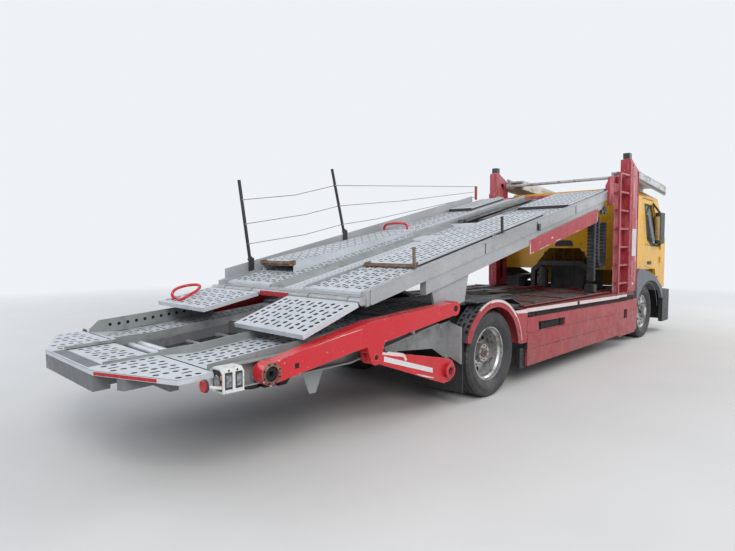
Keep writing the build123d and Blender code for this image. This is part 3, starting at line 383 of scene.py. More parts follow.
class Shell:
    """Collects simple closed shapes into one mesh piece."""

    def __init__(self):
        self.verts = []
        self.faces = []

    def put(self, verts, faces):
        start = len(self.verts)
        self.verts += [Vector(v) for v in verts]
        self.faces += [[start + i for i in face] for face in faces]
        return self

    def mirror(self):
        """Adds the same shapes on the other side of the truck."""
        return self.put([(v.x, -v.y, v.z) for v in self.verts], self.faces)

    def mesh(self, work):
        index = {v: i for i, v in enumerate(work.verts)}
        self.put([v.co.copy() for v in work.verts], [[index[v] for v in f.verts] for f in work.faces])
        work.free()
        return self

    def block(self, s0, s1, y0, y1, z0, z1, chamfer=0.004, turn=None):
        """A box with chamfered edges, turned about its own middle where asked."""
        work = bmesh.new()
        bmesh.ops.create_cube(work, size=1.0)
        size = Vector((abs(s1 - s0), abs(y1 - y0), abs(z1 - z0)))
        middle = at((s0 + s1) / 2, (y0 + y1) / 2, (z0 + z1) / 2)
        bmesh.ops.scale(work, vec=size, verts=work.verts)
        if chamfer and min(size) > 2.5 * chamfer:
            bmesh.ops.bevel(work, geom=work.edges[:], offset=chamfer, segments=1, affect="EDGES")
        spin = Matrix.Rotation(turn[0], 4, turn[1]) if turn else Matrix.Identity(4)
        bmesh.ops.transform(work, matrix=Matrix.Translation(middle) @ spin, verts=work.verts)
        return self.mesh(work)

    def prism(self, points, y0, y1, chamfer=0.0):
        """A (station, height) outline carried from y0 to y1."""
        work = bmesh.new()
        corners = [work.verts.new(at(s, y, z)) for y in (y0, y1) for s, z in points]
        for face in loft_faces(len(points)):
            work.faces.new([corners[i] for i in face])
        if chamfer:
            rims = [e for e in work.edges if e.verts[0].co.y == e.verts[1].co.y]
            bmesh.ops.bevel(work, geom=rims, offset=chamfer, segments=1, affect="EDGES")
        return self.mesh(work)

    def front_prism(self, points, s0, s1):
        """A (y, height) outline carried between two stations."""
        return self.put([at(s, y, z) for s in (s0, s1) for y, z in points], loft_faces(len(points)))

    def pipe(self, points, radius, sides=12, smooth=0):
        """A round bar along shared-frame points, rounded at its corners when smooth is over 0."""
        path = [Vector(p) for p in points]
        side = None
        for _ in range(smooth):
            cut = [path[0]]
            for a, b in zip(path, path[1:]):
                cut += [a.lerp(b, 0.25), a.lerp(b, 0.75)]
            path = cut + [path[-1]]
        verts = []
        for i, point in enumerate(path):
            ahead = path[min(i + 1, len(path) - 1)] - path[max(i - 1, 0)]
            ahead.normalize()
            if side is None:
                side = ahead.orthogonal().normalized()
            side = (side - ahead * side.dot(ahead)).normalized()
            up = ahead.cross(side)
            for k in range(sides):
                angle = 2 * math.pi * k / sides
                verts.append(point + radius * (math.cos(angle) * side + math.sin(angle) * up))
        faces = []
        for i in range(len(path) - 1):
            for k in range(sides):
                n = (k + 1) % sides
                faces.append([i * sides + k, i * sides + n, (i + 1) * sides + n, (i + 1) * sides + k])
        faces.append(list(reversed(range(sides))))
        faces.append(list(range((len(path) - 1) * sides, len(path) * sides)))
        return self.put(verts, faces)

    def lathe(self, profile, station, y, z, sides=48, axis="Y", lug=None):
        """A closed (along, radius) profile turned about an axis through a point."""
        middle = at(station, y, z)
        count = len(profile)
        verts = []
        for k in range(sides):
            angle = 2 * math.pi * k / sides
            for i, (along, radius) in enumerate(profile):
                r = radius - (lug(i, k) if lug else 0.0)
                spoke = [r * math.cos(angle), r * math.sin(angle)]
                spoke.insert("XYZ".index(axis), along)
                verts.append(middle + Vector(spoke))
        faces = []
        for k in range(sides):
            n = (k + 1) % sides
            for i in range(count):
                j = (i + 1) % count
                faces.append([k * count + i, k * count + j, n * count + j, n * count + i])
        return self.put(verts, faces)

    def drum(self, station, y, z, radius, length, axis="Y", sides=24, bore=0.0, chamfer=0.003):
        """A short chamfered cylinder or ring centred on a point."""
        half = length / 2
        profile = [(-half, bore), (-half, radius - chamfer), (-half + chamfer, radius),
                   (half - chamfer, radius)]
        profile += [(half, radius - chamfer), (half, bore)]
        return self.lathe(profile, station, y, z, sides, axis)

    def arc(self, centre, r0, r1, a0, a1, y0, y1, steps=24):
        """A ring sector seen from the side, its angles in degrees from straight ahead."""
        n = steps + 1
        verts = []
        for y in (y0, y1):
            for radius in (r1, r0):
                for k in range(n):
                    angle = math.radians(a0 + (a1 - a0) * k / steps)
                    s, z = centre[0] + radius * math.cos(angle), centre[1] + radius * math.sin(angle)
                    verts.append(at(s, y, z))
        faces = [[0, n, 3 * n, 2 * n], [n - 1, 2 * n - 1, 4 * n - 1, 3 * n - 1]]
        for k in range(steps):
            faces += [[k, k + 1, n + k + 1, n + k], [2 * n + k, 2 * n + k + 1, 3 * n + k + 1, 3 * n + k]]
            faces += [[k, k + 1, 2 * n + k + 1, 2 * n + k], [n + k, n + k + 1, 3 * n + k + 1, 3 * n + k]]
        return self.put(verts, faces)

    def bolts(self, places, radius=0.012, height=0.009, axis="Y"):
        """Hexagon heads at (station, y, z) points."""
        for s, y, z in places:
            self.drum(s, y, z, radius, 2 * height, axis, 6, 0.0, 0.002)
            self.drum(s, y, z, radius * 1.35, height * 0.8, axis, 14, 0.0, 0.001)
        return self

    def sheet(self, outline, holes, place, thickness, folds=()):
        """A perforated plate of (u, v) loops, which place maps with a depth to the shared frame."""
        points = [Vector(p) for p in outline]
        loops = [list(range(len(points)))]
        for hole in holes:
            start = len(points)
            points += [Vector(p) for p in hole]
            loops.append(list(range(start, start + len(hole))))
        edges = []
        for a, b in folds:
            edges.append((len(points), len(points) + 1))
            points += [Vector(a), Vector(b)]
        out, _, tris, _, _, origins = delaunay_2d_cdt(points, edges, loops, 1, 1e-6)
        kept = [t for t, origin in zip(tris, origins) if not any(o > 0 for o in origin)]
        used = sorted({i for t in kept for i in t})
        index = {v: i for i, v in enumerate(used)}
        count = len(used)
        verts = [place(out[i].x, out[i].y, depth) for depth in (0.0, thickness) for i in used]
        faces = [[index[i] for i in t] for t in kept]
        rim = dict.fromkeys((a, b) for t in faces for a, b in zip(t, t[1:] + t[:1]))
        walls = [[b, a, a + count, b + count] for a, b in rim if (b, a) not in rim]
        under = [[i + count for i in reversed(t)] for t in faces]
        return self.put(verts, faces + under + walls)

    def run(self, place, way, corners):
        """A closed (offset, depth) outline carried along the stations of a surface."""
        count = len(corners)
        rings = [place(u, v, d) for u in way for v, d in corners]
        last = len(rings) - count
        faces = [list(range(count)), [last + k for k in reversed(range(count))]]
        for i in range(len(way) - 1):
            for k in range(count):
                n = (k + 1) % count
                faces.append([i * count + n, i * count + k, (i + 1) * count + k, (i + 1) * count + n])
        return self.put(rings, faces)

    def bar(self, place, way, v0, v1, d0, d1):
        return self.run(place, way, [(v0, d0), (v1, d0), (v1, d1), (v0, d1)])

    def put_loop(self, place, loop, d0, d1):
        """A flat (station, offset) loop given a thickness between two depths."""
        return self.put([place(u, v, d) for d in (d0, d1) for u, v in loop], loft_faces(len(loop)))

    def put_wall(self, place, start, end, d0, d1, thick):
        """An upright strip between two (station, offset) points."""
        (sa, ya), (sb, yb) = start, end
        length = math.hypot(sb - sa, yb - ya)
        ns, ny = (yb - ya) / length * thick, -(sb - sa) / length * thick
        loop = [start, end, (sb + ns, yb + ny), (sa + ns, ya + ny)]
        return self.put_loop(place, loop, d0, d1)

    def plank(self, s0, s1, v0, v1, place, lines, flange=0.028, thick=SHEET, way=None, edge=0.004):
        """A perforated plank with its sides turned down."""
        way = way or [s0, s1]
        folds = [((s, v0), (s, v1)) for s in way[1:-1]]
        inset = min(0.02, (v1 - v0) * 0.1)
        holes = hole_field(s0, s1, v0 + inset, v1 - inset, lines)
        self.sheet([(s0, v0), (s1, v0), (s1, v1), (s0, v1)], holes, place, thick, folds)
        if flange > thick:
            self.bar(place, way, v0, v0 + edge, thick - 0.0005, flange)
            self.bar(place, way, v1 - edge, v1, thick - 0.0005, flange)
            for a, b in ((s0, s0 + edge), (s1 - edge, s1)):
                self.bar(place, [a, b], v0 + edge, v1 - edge, thick - 0.0005, flange)
        return self

    def piece(self, name, body, slot, look=None, angle=35.0):
        """Makes the object, gives it its material and lets it ride on its body."""
        data = bpy.data.meshes.new(name)
        data.from_pydata([tuple(v) for v in self.verts], [], self.faces)
        work = bmesh.new()
        work.from_mesh(data)
        bmesh.ops.remove_doubles(work, verts=work.verts, dist=1e-6)
        bmesh.ops.dissolve_degenerate(work, dist=1e-6, edges=work.edges)
        bmesh.ops.recalc_face_normals(work, faces=work.faces)
        work.to_mesh(data)
        work.free()
        data.shade_smooth()
        data.set_sharp_from_angle(angle=math.radians(angle))
        data.materials.append(materials[look or slot])
        thing = bpy.data.objects.new(name, data)
        bpy.context.scene.collection.objects.link(thing)
        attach(thing, body)
        return thing


def turn(count, start=0.5):
    """Evenly spaced angles round a full turn, the first one start steps on."""
    return [2 * math.pi * (k + start) / count for k in range(count)]


def ring(centre, radius, angles):
    """Points on a circle about a centre with two coordinates."""
    return [(centre[0] + radius * math.cos(a), centre[1] + radius * math.sin(a)) for a in angles]


def rectangle(u0, u1, v0, v1):
    """The corners of a rectangle, in a loop."""
    return [(u0, v0), (u1, v0), (u1, v1), (u0, v1)]


def hole_field(u0, u1, v0, v1, lines, margin=0.035):
    """Lines of round holes, each second line with short slots instead."""
    pitch = (v1 - v0) / lines
    flat = SLOT_LONG - 0.6 * SLOT_WIDE
    slot = [(SLOT_LONG, 0.4 * SLOT_WIDE), (flat, SLOT_WIDE), (-flat, SLOT_WIDE),
            (-SLOT_LONG, 0.4 * SLOT_WIDE)]
    slot += [(-a, -b) for a, b in slot]
    holes = []
    for line in range(lines):
        step, shape = (2 * HOLE_PITCH, slot) if line % 2 else (HOLE_PITCH, ring((0, 0), HOLE, turn(8)))
        v = v0 + pitch * (line + 0.5)
        count = int((u1 - u0 - 2 * margin) / step)
        start = (u0 + u1) / 2 - step * (count - 1) / 2
        holes += [[(start + step * i + a, v + b) for a, b in shape] for i in range(count)]
    return holes


def fine_field(u0, u1, v0, v1, pitch, radius):
    """A square grid of small holes."""
    return [ring((u0 + (i + 0.5) * pitch, v0 + (j + 0.5) * pitch), radius, turn(6))
            for i in range(int((u1 - u0) / pitch)) for j in range(int((v1 - v0) / pitch))]


# Surfaces: each maps a station, an offset and a depth below it to the shared frame


def on_deck(u, v, depth):
    return at(u, v, deck_top(u) - depth)


def on_lower(u, v, depth):
    return at(u, v, lower_top(u) - depth)


def on_over(u, v, depth):
    return at(u, v, OVER_CAB_TOP - OVER_CAB_SLOPE * (u - OVER_CAB_REAR) - depth)


def below(base, drop):
    """A surface let down by drop."""
    return lambda u, v, depth: base(u, v, depth + drop)


def raised(s0, s1, rear, front):
    """A surface standing above the deck by rear at s0 and by front at s1."""
    return lambda u, v, depth: on_deck(u, v, depth - rear - (front - rear) * (u - s0) / (s1 - s0))


def outwards(side):
    """The lower deck with its offsets counted outwards on one side."""
    return lambda u, v, depth: on_lower(u, side * v, depth)


def side_plane(side, face):
    """Maps a station, a height and a depth towards the middle to one side of the truck."""
    return lambda u, z, depth: at(u, side * (face - depth), z)


def stations(s0, s1):
    """The ends of a run over the lower deck, with the bends between them."""
    return [s0] + [s for s, _ in LOWER_PATH if s0 < s < s1] + [s1]


# Decks


def make_upper_deck():
    s0, s1 = DECK_START, DECK_END
    step, bend, wall = 0.63, 1.32, 0.262
    plates, shade_pans, walls, rails, fine, ram = (Shell() for _ in range(6))
    for side in (-1, 1):
        for k in range(3):
            inner = side * (CHANNEL_HALF + 0.001 + LANE_PITCH * k)
            v0, v1 = sorted((inner, inner + side * LANE_WIDTH))
            plates.plank(s0, s1, v0, v1, on_deck, 4)
            # Near-black pans under the planks: painted shade seen through the holes
            shade_pans.bar(on_deck, [s0 + 0.006, s1 - 0.006], inner + side * 0.006, inner + side * 0.253, *SHADE_PAN)
        for outer, top, bottom in ((1.1485, -0.0245, 0.093), (1.1525, 0.083, 0.093),
                                   (1.1515, -0.0245, -0.0165)):
            rails.bar(on_deck, [s0 - 0.02, s1 + 0.002], side * BEAM_FACE, side * outer, top, bottom)
    walls.run(on_deck, [s0, bend], [(CHANNEL_HALF, -0.003), (0.180, 0.054), (0.180, 0.060),
                                    (CHANNEL_HALF, 0.004)])
    walls.bar(on_deck, [bend, s1], wall, CHANNEL_HALF, -0.004, 0.062)
    walls.bar(on_deck, [s0, s1], -CHANNEL_HALF, -wall, -0.004, 0.062)
    walls.piece("deck_channel_walls", "upper_deck", "galvanised", "guard_grey")
    # Near-black pans under the channel floor: painted shade seen through its holes
    shade_pans.bar(on_deck, [bend + 0.02, s1], -0.261, 0.261, 0.062, 0.066)
    shade_pans.bar(on_deck, [step, bend + 0.02], -0.261, 0.178, 0.0655, 0.067)
    shade_pans.bar(on_deck, [s0 + 0.004, 0.416], -0.257, 0.174, 0.0580, 0.0600)
    rounded = [(0.272, -0.001), (0.272, -0.036), (0.282, -0.044), (0.306, -0.044), (0.314, -0.036),
               (0.314, -0.001)]
    rails.run(on_deck, [0.55, s1], rounded)
    rails.bar(on_deck, [s0 + 0.02, 0.55], -0.300, -0.272, -0.020, -0.001)
    rails.bar(on_deck, [0.60, s1], -0.292, -0.272, -0.026, -0.001)
    rails.piece("deck_rails", "upper_deck", "galvanised")
    plate = plates.piece("deck_plates", "upper_deck", "galvanised", "deck_plate")
    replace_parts(plate, "upper_deck_tracks")
    shade_pans.piece("deck_plate_painted_shade", "upper_deck", "dark_track", "painted_shade_black")

    holes = fine_field(s0 + 0.04, 0.38, -0.235, 0.155, 0.060, 0.0115)
    fine.sheet(rectangle(s0, 0.42, -0.261, 0.178), holes, below(on_deck, 0.056), SHEET)
    fine.bar(on_deck, [0.42, step], -wall, wall, 0.026, 0.050)
    fine.bar(on_deck, [1.30, 1.345], -wall, wall, 0.010, 0.050)
    fine.plank(step, 1.30, -wall, 0.175, below(on_deck, 0.042), 6, flange=0.012)
    fine.piece("deck_channel_floor", "upper_deck", "galvanised", "deck_plate")

    ram.bar(on_deck, [1.36, 2.34], -0.258, -0.175, -0.030, 0.020)
    for (a, b), radius, sides in ((((1.30, -0.215, -0.006), (1.50, -0.215, -0.006)), 0.017, 12),
                                  (((1.38, 0.115, 0.010), (2.35, 0.085, 0.010)), 0.034, 16),
                                  (((2.30, 0.086, 0.010), (3.32, 0.060, 0.010)), 0.019, 12),
                                  (((1.50, -0.10, 0.030), (3.30, -0.06, 0.030)), 0.022, 10)):
        ram.pipe([on_deck(*a), on_deck(*b)], radius, sides)
    for s in (1.42, 2.32, 3.30):
        ram.bar(on_deck, [s - 0.02, s + 0.02], -0.255, 0.255, 0.044, 0.061)
    ram.drum(1.385, 0.115, deck_top(1.385) - 0.008, 0.045, 0.09)
    ram.piece("deck_channel_ram", "upper_deck", "dark_metal", "black_steel")


def make_overlays():
    """The four loose wheel plates: their ends, sides, height at each end and lines of holes."""
    table = ((-1.0, 1.6, -0.98, -0.33, 0.035, 0.035, 8), (2.2, 3.45, -1.055, -0.30, 0.040, 0.040, 10),
             (-1.34, 0.76, 0.43, 1.0, 0.120, 0.035, 8), (2.4, 3.4, 0.62, 1.05, 0.045, 0.045, 6))
    plates, shade_pans, bars, dark = (Shell() for _ in range(4))
    for s0, s1, y0, y1, rear, front, lines in table:
        top = raised(s0, s1, rear, front)
        plates.plank(s0, s1, y0, y1, top, lines, flange=0.0)
        plates.bar(top, [s1 - 0.005, s1], y0 + 0.007, y1 - 0.007, 0.0035, front - 0.001)
        ends = [(s0, deck_top(s0) + rear - 0.012), (s1, deck_top(s1) + front - 0.012)]
        ends += [(s1, deck_top(s1)), (s0, deck_top(s0))]
        # The low plates get near-black side walls under their edges: painted shade in the gap beneath them
        for y in (y0, y1 - 0.006):
            plates.bar(top, [s0, s1], y, y + 0.006, 0.0032, 0.014)
            (plates if rear > 0.1 else dark).prism(ends, y + 0.002, y + 0.005)
        # A near-black pan under the plate: painted shade seen through its holes
        shade_pans.bar(top, [s0 + 0.01, s1 - 0.01], y0 + 0.008, y1 - 0.008, *SHADE_PAN)
        if s0 > 0:
            # A near-black bar closes the gap under the plate's rear end: painted shade
            dark.bar(top, [s0 - 0.022, s0 + 0.002], y0 + 0.01, y1 - 0.01, 0.001, 0.030)
            continue
        bars.bar(top, [s0 - 0.016, s0 + 0.004], y0 - 0.004, y1 + 0.004, -0.004, min(rear, 0.045))
        bars.pipe([top(s0 - 0.018, y0 - 0.01, 0.016), top(s0 - 0.018, y1 + 0.01, 0.016)], 0.013, 8)
        for y in (y0 + 0.02, y1 - 0.02):
            bars.bar(top, [s0 - 0.028, s0 + 0.03], y - 0.022, y + 0.022, -0.012, min(rear, 0.04))
    plate = plates.piece("loose_wheel_plates", "upper_deck", "galvanised", "deck_plate")
    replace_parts(plate, "deck_overlays")
    shade_pans.piece("loose_plate_painted_shade", "upper_deck", "dark_track", "painted_shade_black")
    bars.piece("loose_plate_hinges", "upper_deck", "dark_metal", "rusty")
    dark.piece("loose_plate_gap_shade", "upper_deck", "dark_track", "black_steel")


def make_lower_tracks():
    tracks, shade_pans = Shell(), Shell()
    for side in (-1, 1):
        for s0, s1, inner, outer, lines, deep in ((TRACK_START, TRACK_END, CHANNEL_EDGE, 1.0549, 8, 0.032),
                                                  (-0.30, 0.64, 1.0560, 1.199, 2, 0.0072)):
            v0, v1 = sorted((side * inner, side * outer))
            way = stations(s0, s1)
            tracks.plank(s0, s1, v0, v1, on_lower, lines, flange=deep, way=way)
            # A near-black pan under each plate: painted shade seen through its holes
            shade_pans.bar(on_lower, way, v0 + 0.005, v1 - 0.005, *SHADE_PAN)
        for edge in (0.395, 1.045):
            tracks.bar(on_lower, stations(-1.29, 3.53),
                       side * edge - 0.009, side * edge + 0.009, -0.010, 0.0005)
    plate = tracks.piece("lower_deck_plates", "chassis", "dark_track", "dark_plate")
    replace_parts(plate, "lower_deck_tracks")
    shade_pans.piece("lower_plate_painted_shade", "chassis", "dark_track", "painted_shade_black")


def in_cut_corner(loop):
    """True where a hole lies inside the tail deck's cut corner."""
    slant, rim = 2.64, 0.035
    return all(v <= TAIL_CUT + (u + 3.70) * slant - rim for u, v in loop)


def make_tail():
    recess, well, foot = CHANNEL_EDGE, 1.0545, 0.028
    plates, shade_pans, pipes, walls, channel, floor = (Shell() for _ in range(6))
    corner = [(TAIL_END, recess), (TAIL_END, TAIL_CUT), (TAIL_BEND, TAIL_WIDE), (TAIL_STEP, TAIL_WIDE)]
    for side in (-1, 1):
        facing = outwards(side)
        holes = [h for h in hole_field(-3.68, -3.225, 0.41, 1.15, 9, 0.02) if in_cut_corner(h)]
        plates.sheet([(TAIL_STEP, recess)] + corner[::-1], holes, facing, SHEET)

        def sunk(u, v, depth, facing=facing):
            return facing(u, v, foot * min(1.0, (u + 3.2) / 0.1) + depth)

        field = hole_field(-3.18, -1.32, 0.41, 1.03, 8)
        fold = [((-2.90, recess), (-2.90, well))]
        plates.sheet(rectangle(-3.20, -1.301, recess, well), field, sunk, SHEET, fold)
        # Near-black pans under the tail plates: painted shade seen through their holes
        shade_pans.put_loop(facing, [(-3.69, 0.39), (-3.69, 0.505), (-3.45, 1.145), (-3.222, 1.145),
                               (-3.222, 0.39)], *SHADE_PAN)
        shade_pans.bar(facing, [-3.10, -2.90, -1.305], 0.402, 1.05, 0.0299, 0.0320)
        walls.bar(facing, [-3.60, TAIL_STEP], recess + 0.0002, 0.394, -0.020, 0.0005)
        plates.bar(facing, [-3.60, TAIL_STEP], recess + 0.0002, 0.396, -0.0215, -0.0195)
        walls.bar(facing, [TAIL_STEP, -2.90, -1.301], recess, 0.400, -0.035, 0.035)
        high = 0.10 if side > 0 else 0.035
        outline = [(s, lower_top(s) + up) for s, up in (
            (-3.20, -0.03), (-1.95, -0.03), (-1.95, high), (-3.12, high), (-3.20, 0.03))]
        centres = [-3.02 + 0.082 * k for k in range(13)] if side > 0 else []
        holes = [ring((u, lower_top(u) + 0.048), 0.017, turn(8)) for u in centres]
        walls.sheet(outline, holes, side_plane(side, 1.056), 0.006)
        for start, end in zip(corner[1:], corner[2:]):
            plates.put_wall(facing, start, end, 0.004, 0.034, 0.006)
    ends = (-3.06, -1.96)
    # A near-black strip behind the side wall's holes: painted shade seen through them
    shade_backing = [(s, lower_top(s) + 0.02) for s in ends] + [(s, lower_top(s) + 0.075) for s in reversed(ends)]
    shade_pans.prism(shade_backing, 1.0565, 1.0585)
    # The rear channel takes the darker galvanised grey: painted shade in the recess
    channel.bar(on_lower, [-3.690, -3.602], -0.3855, 0.3855, 0.0010, 0.006)
    plates.bar(on_lower, [TAIL_END, -3.690], -recess, recess, 0.0, 0.006)
    plates.bar(on_lower, [TAIL_END, -3.692], -TAIL_CUT, TAIL_CUT, 0.004, 0.034)
    walls.bar(on_lower, [-3.602, -3.596], -recess, recess, 0.0, 0.010)
    plate = plates.piece("tail_deck_plates", "chassis", "galvanised", "deck_plate")
    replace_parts(plate, "tail_plates")
    walls.piece("tail_walls", "chassis", "galvanised", "guard_grey")
    channel.piece("tail_rear_channel", "chassis", "galvanised", "galvanised_painted_shade")
    for s0, s1 in ((-3.590, -3.235), (-2.150, -1.31)):
        floor.plank(s0, s1, -0.378, 0.378, below(on_lower, 0.0075), 9, flange=0.0)
        # Near-black pans under the recess plates: painted shade seen through their holes
        shade_pans.bar(on_lower, [s0 + 0.003, s1 - 0.003], -0.375, 0.375, 0.0094, 0.0112)
    floor.piece("tail_recess_plates", "chassis", "galvanised", "deck_plate")
    shade_pans.piece("tail_plate_painted_shade", "chassis", "dark_track", "painted_shade_black")
    for s in (-3.10, -3.02):
        pipes.pipe([on_lower(s, -0.384, 0.050), on_lower(s, 0.384, 0.050)], 0.026, 16)
    pipes.piece("tail_cross_pipes", "chassis", "galvanised", "deck_plate")


def ramp_place(drop):
    """Maps a distance down a ramp, an offset and a depth to the shared frame."""
    angle = -math.radians(drop)
    hinge_station, hinge_height = RAMP_HINGE

    def place(u, v, depth):
        w = 0.012 - 0.008 * (u - 0.042) / 0.598 - depth
        return at(hinge_station - u * math.cos(angle) + w * math.sin(angle), v,
                  hinge_height + u * math.sin(angle) + w * math.cos(angle))
    return place


def make_ramps():
    inner, outer, foot, tip = 0.235, 1.14, 0.046, 0.64
    for name, side, drop in (("right", -1, 18.0), ("left", 1, 10.0)):
        y0, y1 = sorted((side * inner, side * outer))
        place = ramp_place(drop)
        ramp, shade_pan, sleeves = Shell(), Shell(), Shell()
        ramp.plank(foot, tip, y0, y1, place, 11, flange=0.0375, edge=0.010)
        for y in (y0 + 0.30, y0 + 0.60):
            ramp.bar(place, [foot + 0.011, tip - 0.011], y - 0.012, y + 0.012, 0.010, 0.034)
        # A near-black pan under the ramp plate: painted shade seen through its holes
        shade_pan.bar(place, [foot + 0.011, tip - 0.011], y0 + 0.011, y1 - 0.011, *SHADE_PAN)
        for y in ((y0 + y1) / 2 - 0.25, (y0 + y1) / 2 + 0.25):
            sleeves.drum(RAMP_HINGE[0], y, RAMP_HINGE[1], 0.042, 0.12, bore=0.0312)
            sleeves.bar(place, [0.036, 0.056], y - 0.055, y + 0.055, 0.006, 0.034)
        piece = ramp.piece("ramp_plate_" + name, "ramp_" + name, "galvanised", "deck_plate")
        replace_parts(piece, "ramp_" + name)
        shade_pan.piece("ramp_painted_shade_" + name, "ramp_" + name, "dark_track", "painted_shade_black")
        sleeves.piece("ramp_hinges_" + name, "ramp_" + name, "galvanised", "guard_grey")

    hoop = Shell()
    points = [(0.52, 1.04, 0.0), (0.53, 1.05, -0.060), (0.46, 1.06, -0.095), (0.33, 1.03, -0.100),
              (0.25, 0.95, -0.085), (0.33, 0.86, -0.055), (0.46, 0.84, -0.030), (0.53, 0.88, 0.0)]
    hoop.pipe([place(*p) for p in points], 0.015, 10, 2)
    hoop.pipe([place(0.56, 0.80, -0.018), place(0.50, 1.10, -0.018)], 0.013, 10)
    for u, v in ((0.52, 1.04), (0.53, 0.88)):
        hoop.bar(place, [u - 0.03, u + 0.03], v - 0.025, v + 0.025, -0.006, 0.002)
    hoop.piece("ramp_wheel_hoop", "ramp_left", "red_paint", "arm_red")


make_upper_deck()
make_overlays()
make_lower_tracks()
make_tail()
make_ramps()


# Sides, arms and lamps. Most of this is built on the left and mirrored


def make_skirts():
    s0, s1, s2, s3 = 0.702, 3.640, 3.656, 4.479
    thick, face = 0.026, BODY_HALF

    def line(s, height, fall):
        return height - fall * (s - 0.70)

    levels = ((0.773, 0.0141), (0.594, 0.0130), (0.405, 0.0080), (0.213, 0.0))
    red, white, dark = Shell(), Shell(), Shell()
    place = side_plane(1, face)
    for k, (high, low) in enumerate(zip(levels, levels[1:])):
        outline = [(s0, line(s0, *low) + 0.005), (s1, line(s1, *low) + 0.005)]
        outline += [(s1, line(s1, *high)), (s0, line(s0, *high))]
        pocket = [(0.970, 0.604), (1.688, 0.595), (1.697, 0.689), (0.962, 0.705)]
        red.sheet(outline, [] if k else [pocket], place, thick)
    outline = [(s2, 0.19), (4.38, 0.19), (s3, 0.26), (s3, 0.735), (s2, 0.731)]
    red.sheet(outline, [rectangle(3.86, 4.015, 0.455, 0.600)], place, thick)
    for a, b, z in ((3.66, 4.475, 0.470), (3.66, 3.85, 0.555), (4.025, 4.475, 0.553)):
        dark.block(a, b, face - 0.0015, face + 0.0003, z, z + 0.0035, 0)
    # Near-black sheets behind the planks and behind the gap under the strip: painted shade seen through the
    # gaps and the pocket
    dark.prism([(s0 + 0.01, 0.23), (4.47, 0.21), (4.47, 0.73), (s0 + 0.01, 0.765)], 1.2215, 1.2235)
    dark.prism([(s0, 0.775), (4.38, 0.735), (4.38, 0.80), (s0, 0.85)], 1.2225, 1.2235)
    white.prism([(s0, 0.836), (3.645, 0.790), (3.645, 0.834), (s0, 0.878)], 1.224, 1.251, 0.003)
    white.prism([(3.66, 0.800), (3.99, 0.796), (3.99, 0.832), (3.66, 0.834)], 1.224, 1.249, 0.003)
    for a, b in ((0.722, 0.800), (0.815, 0.900), (0.930, 0.946), (3.30, 3.36)):
        dark.block(a, b, 1.2235, 1.240, 0.782, 0.826, 0.003)
    dark.block(2.075, 2.125, 1.2505, 1.2575, 0.805, 0.862, 0.002)
    dark.block(0.99, 1.67, 1.2245, 1.2275, 0.612, 0.632, 0)
    for s in (1.06, 1.60):
        dark.block(s - 0.012, s + 0.012, 1.2245, 1.240, 0.606, 0.690, 0.002)
    dark.block(3.885, 3.945, 1.2245, 1.238, 0.47, 0.59, 0.003)
    dark.bolts([(s, 1.2505, line(s, *levels[2]) - 0.10) for s in (0.74, 1.30, 2.30, 3.30, 3.60)],
               0.006, 0.0015)
    piece = red.mirror().piece("skirt_planks", "chassis", "red_paint", "skirt_red")
    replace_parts(piece, "side_skirts")
    white.mirror().piece("skirt_strip", "chassis", "red_paint", "worn_white")
    dark.mirror().piece("skirt_shade_and_fittings", "chassis", "black_plastic", "painted_shade_black")


def make_fenders():
    centre = (0.0, AXLE_HEIGHT)
    inner, outer, folded = 1.0565, 1.2365, 28
    red, white, dark, over, shade_backing = (Shell() for _ in range(5))
    for r0, a0, a1, y1, steps in ((0.550, 40.0, 100.0, 1.2512, 20), (0.562, 100.0, 122.0, 1.2510, 8),
                                  (0.566, 8.0, 40.0, 1.2510, 10)):
        white.arc(centre, r0, 0.5765, a0, a1, 1.236, y1, steps)

    def around(u, v, depth):
        s, z = ring(centre, FENDER_SHEET - depth, [u / FENDER_SHEET])[0]
        return at(s, v, z)

    u0, u1 = (FENDER_SHEET * math.radians(a) for a in (22.0, 159.0))
    folds = [((u, inner), (u, outer)) for u in (u0 + (u1 - u0) / folded * k for k in range(1, folded))]
    over.sheet(rectangle(u0, u1, inner, outer), hole_field(u0, u1, 1.060, 1.233, 3), around, SHEET, folds)
    # A near-black arc under the over-wheel sheet: painted shade seen through its holes
    shade_backing.arc(centre, 0.5573, 0.5578, 23.0, 158.0, 1.058, 1.235, 40)
    leg = ring(centre, 0.574, [math.radians(a) for a in range(46, 3, -3)])
    red.sheet(leg + [(0.690, 0.497), (0.690, 0.872), (0.402, 0.872)], [], side_plane(1, 1.2492), 0.011)
    white.prism([(0.470, 0.842), (0.690, 0.832), (0.690, 0.876), (0.400, 0.876),
                 (0.390, 0.872)], 1.2385, 1.2508)
    dark.block(0.690, 0.7005, 1.20, 1.245, 0.40, 0.86, 0)
    dark.block(0.585, 0.690, 1.175, 1.215, 0.20, 0.43, 0.004)
    for k in range(6):
        dark.block(0.578, 0.6895, 1.21, 1.222, 0.205 + 0.038 * k, 0.227 + 0.038 * k, 0.002)
    rivets = ring(centre, 0.537, [math.radians(a) for a in (20, 62, 104, 148)])
    dark.bolts([(s, 1.2515, z) for s, z in rivets], 0.007, 0.002)
    red.mirror().piece("fender_legs", "chassis", "red_paint", "skirt_red")
    over.mirror().piece("over_wheel_sheets", "chassis", "dark_track", "dark_plate")
    shade_backing.mirror().piece("over_wheel_painted_shade", "chassis", "dark_track", "painted_shade_black")
    white.mirror().piece("fender_worn_edges", "chassis", "red_paint", "worn_white")
    dark.mirror().piece("fender_slats", "chassis", "black_plastic")


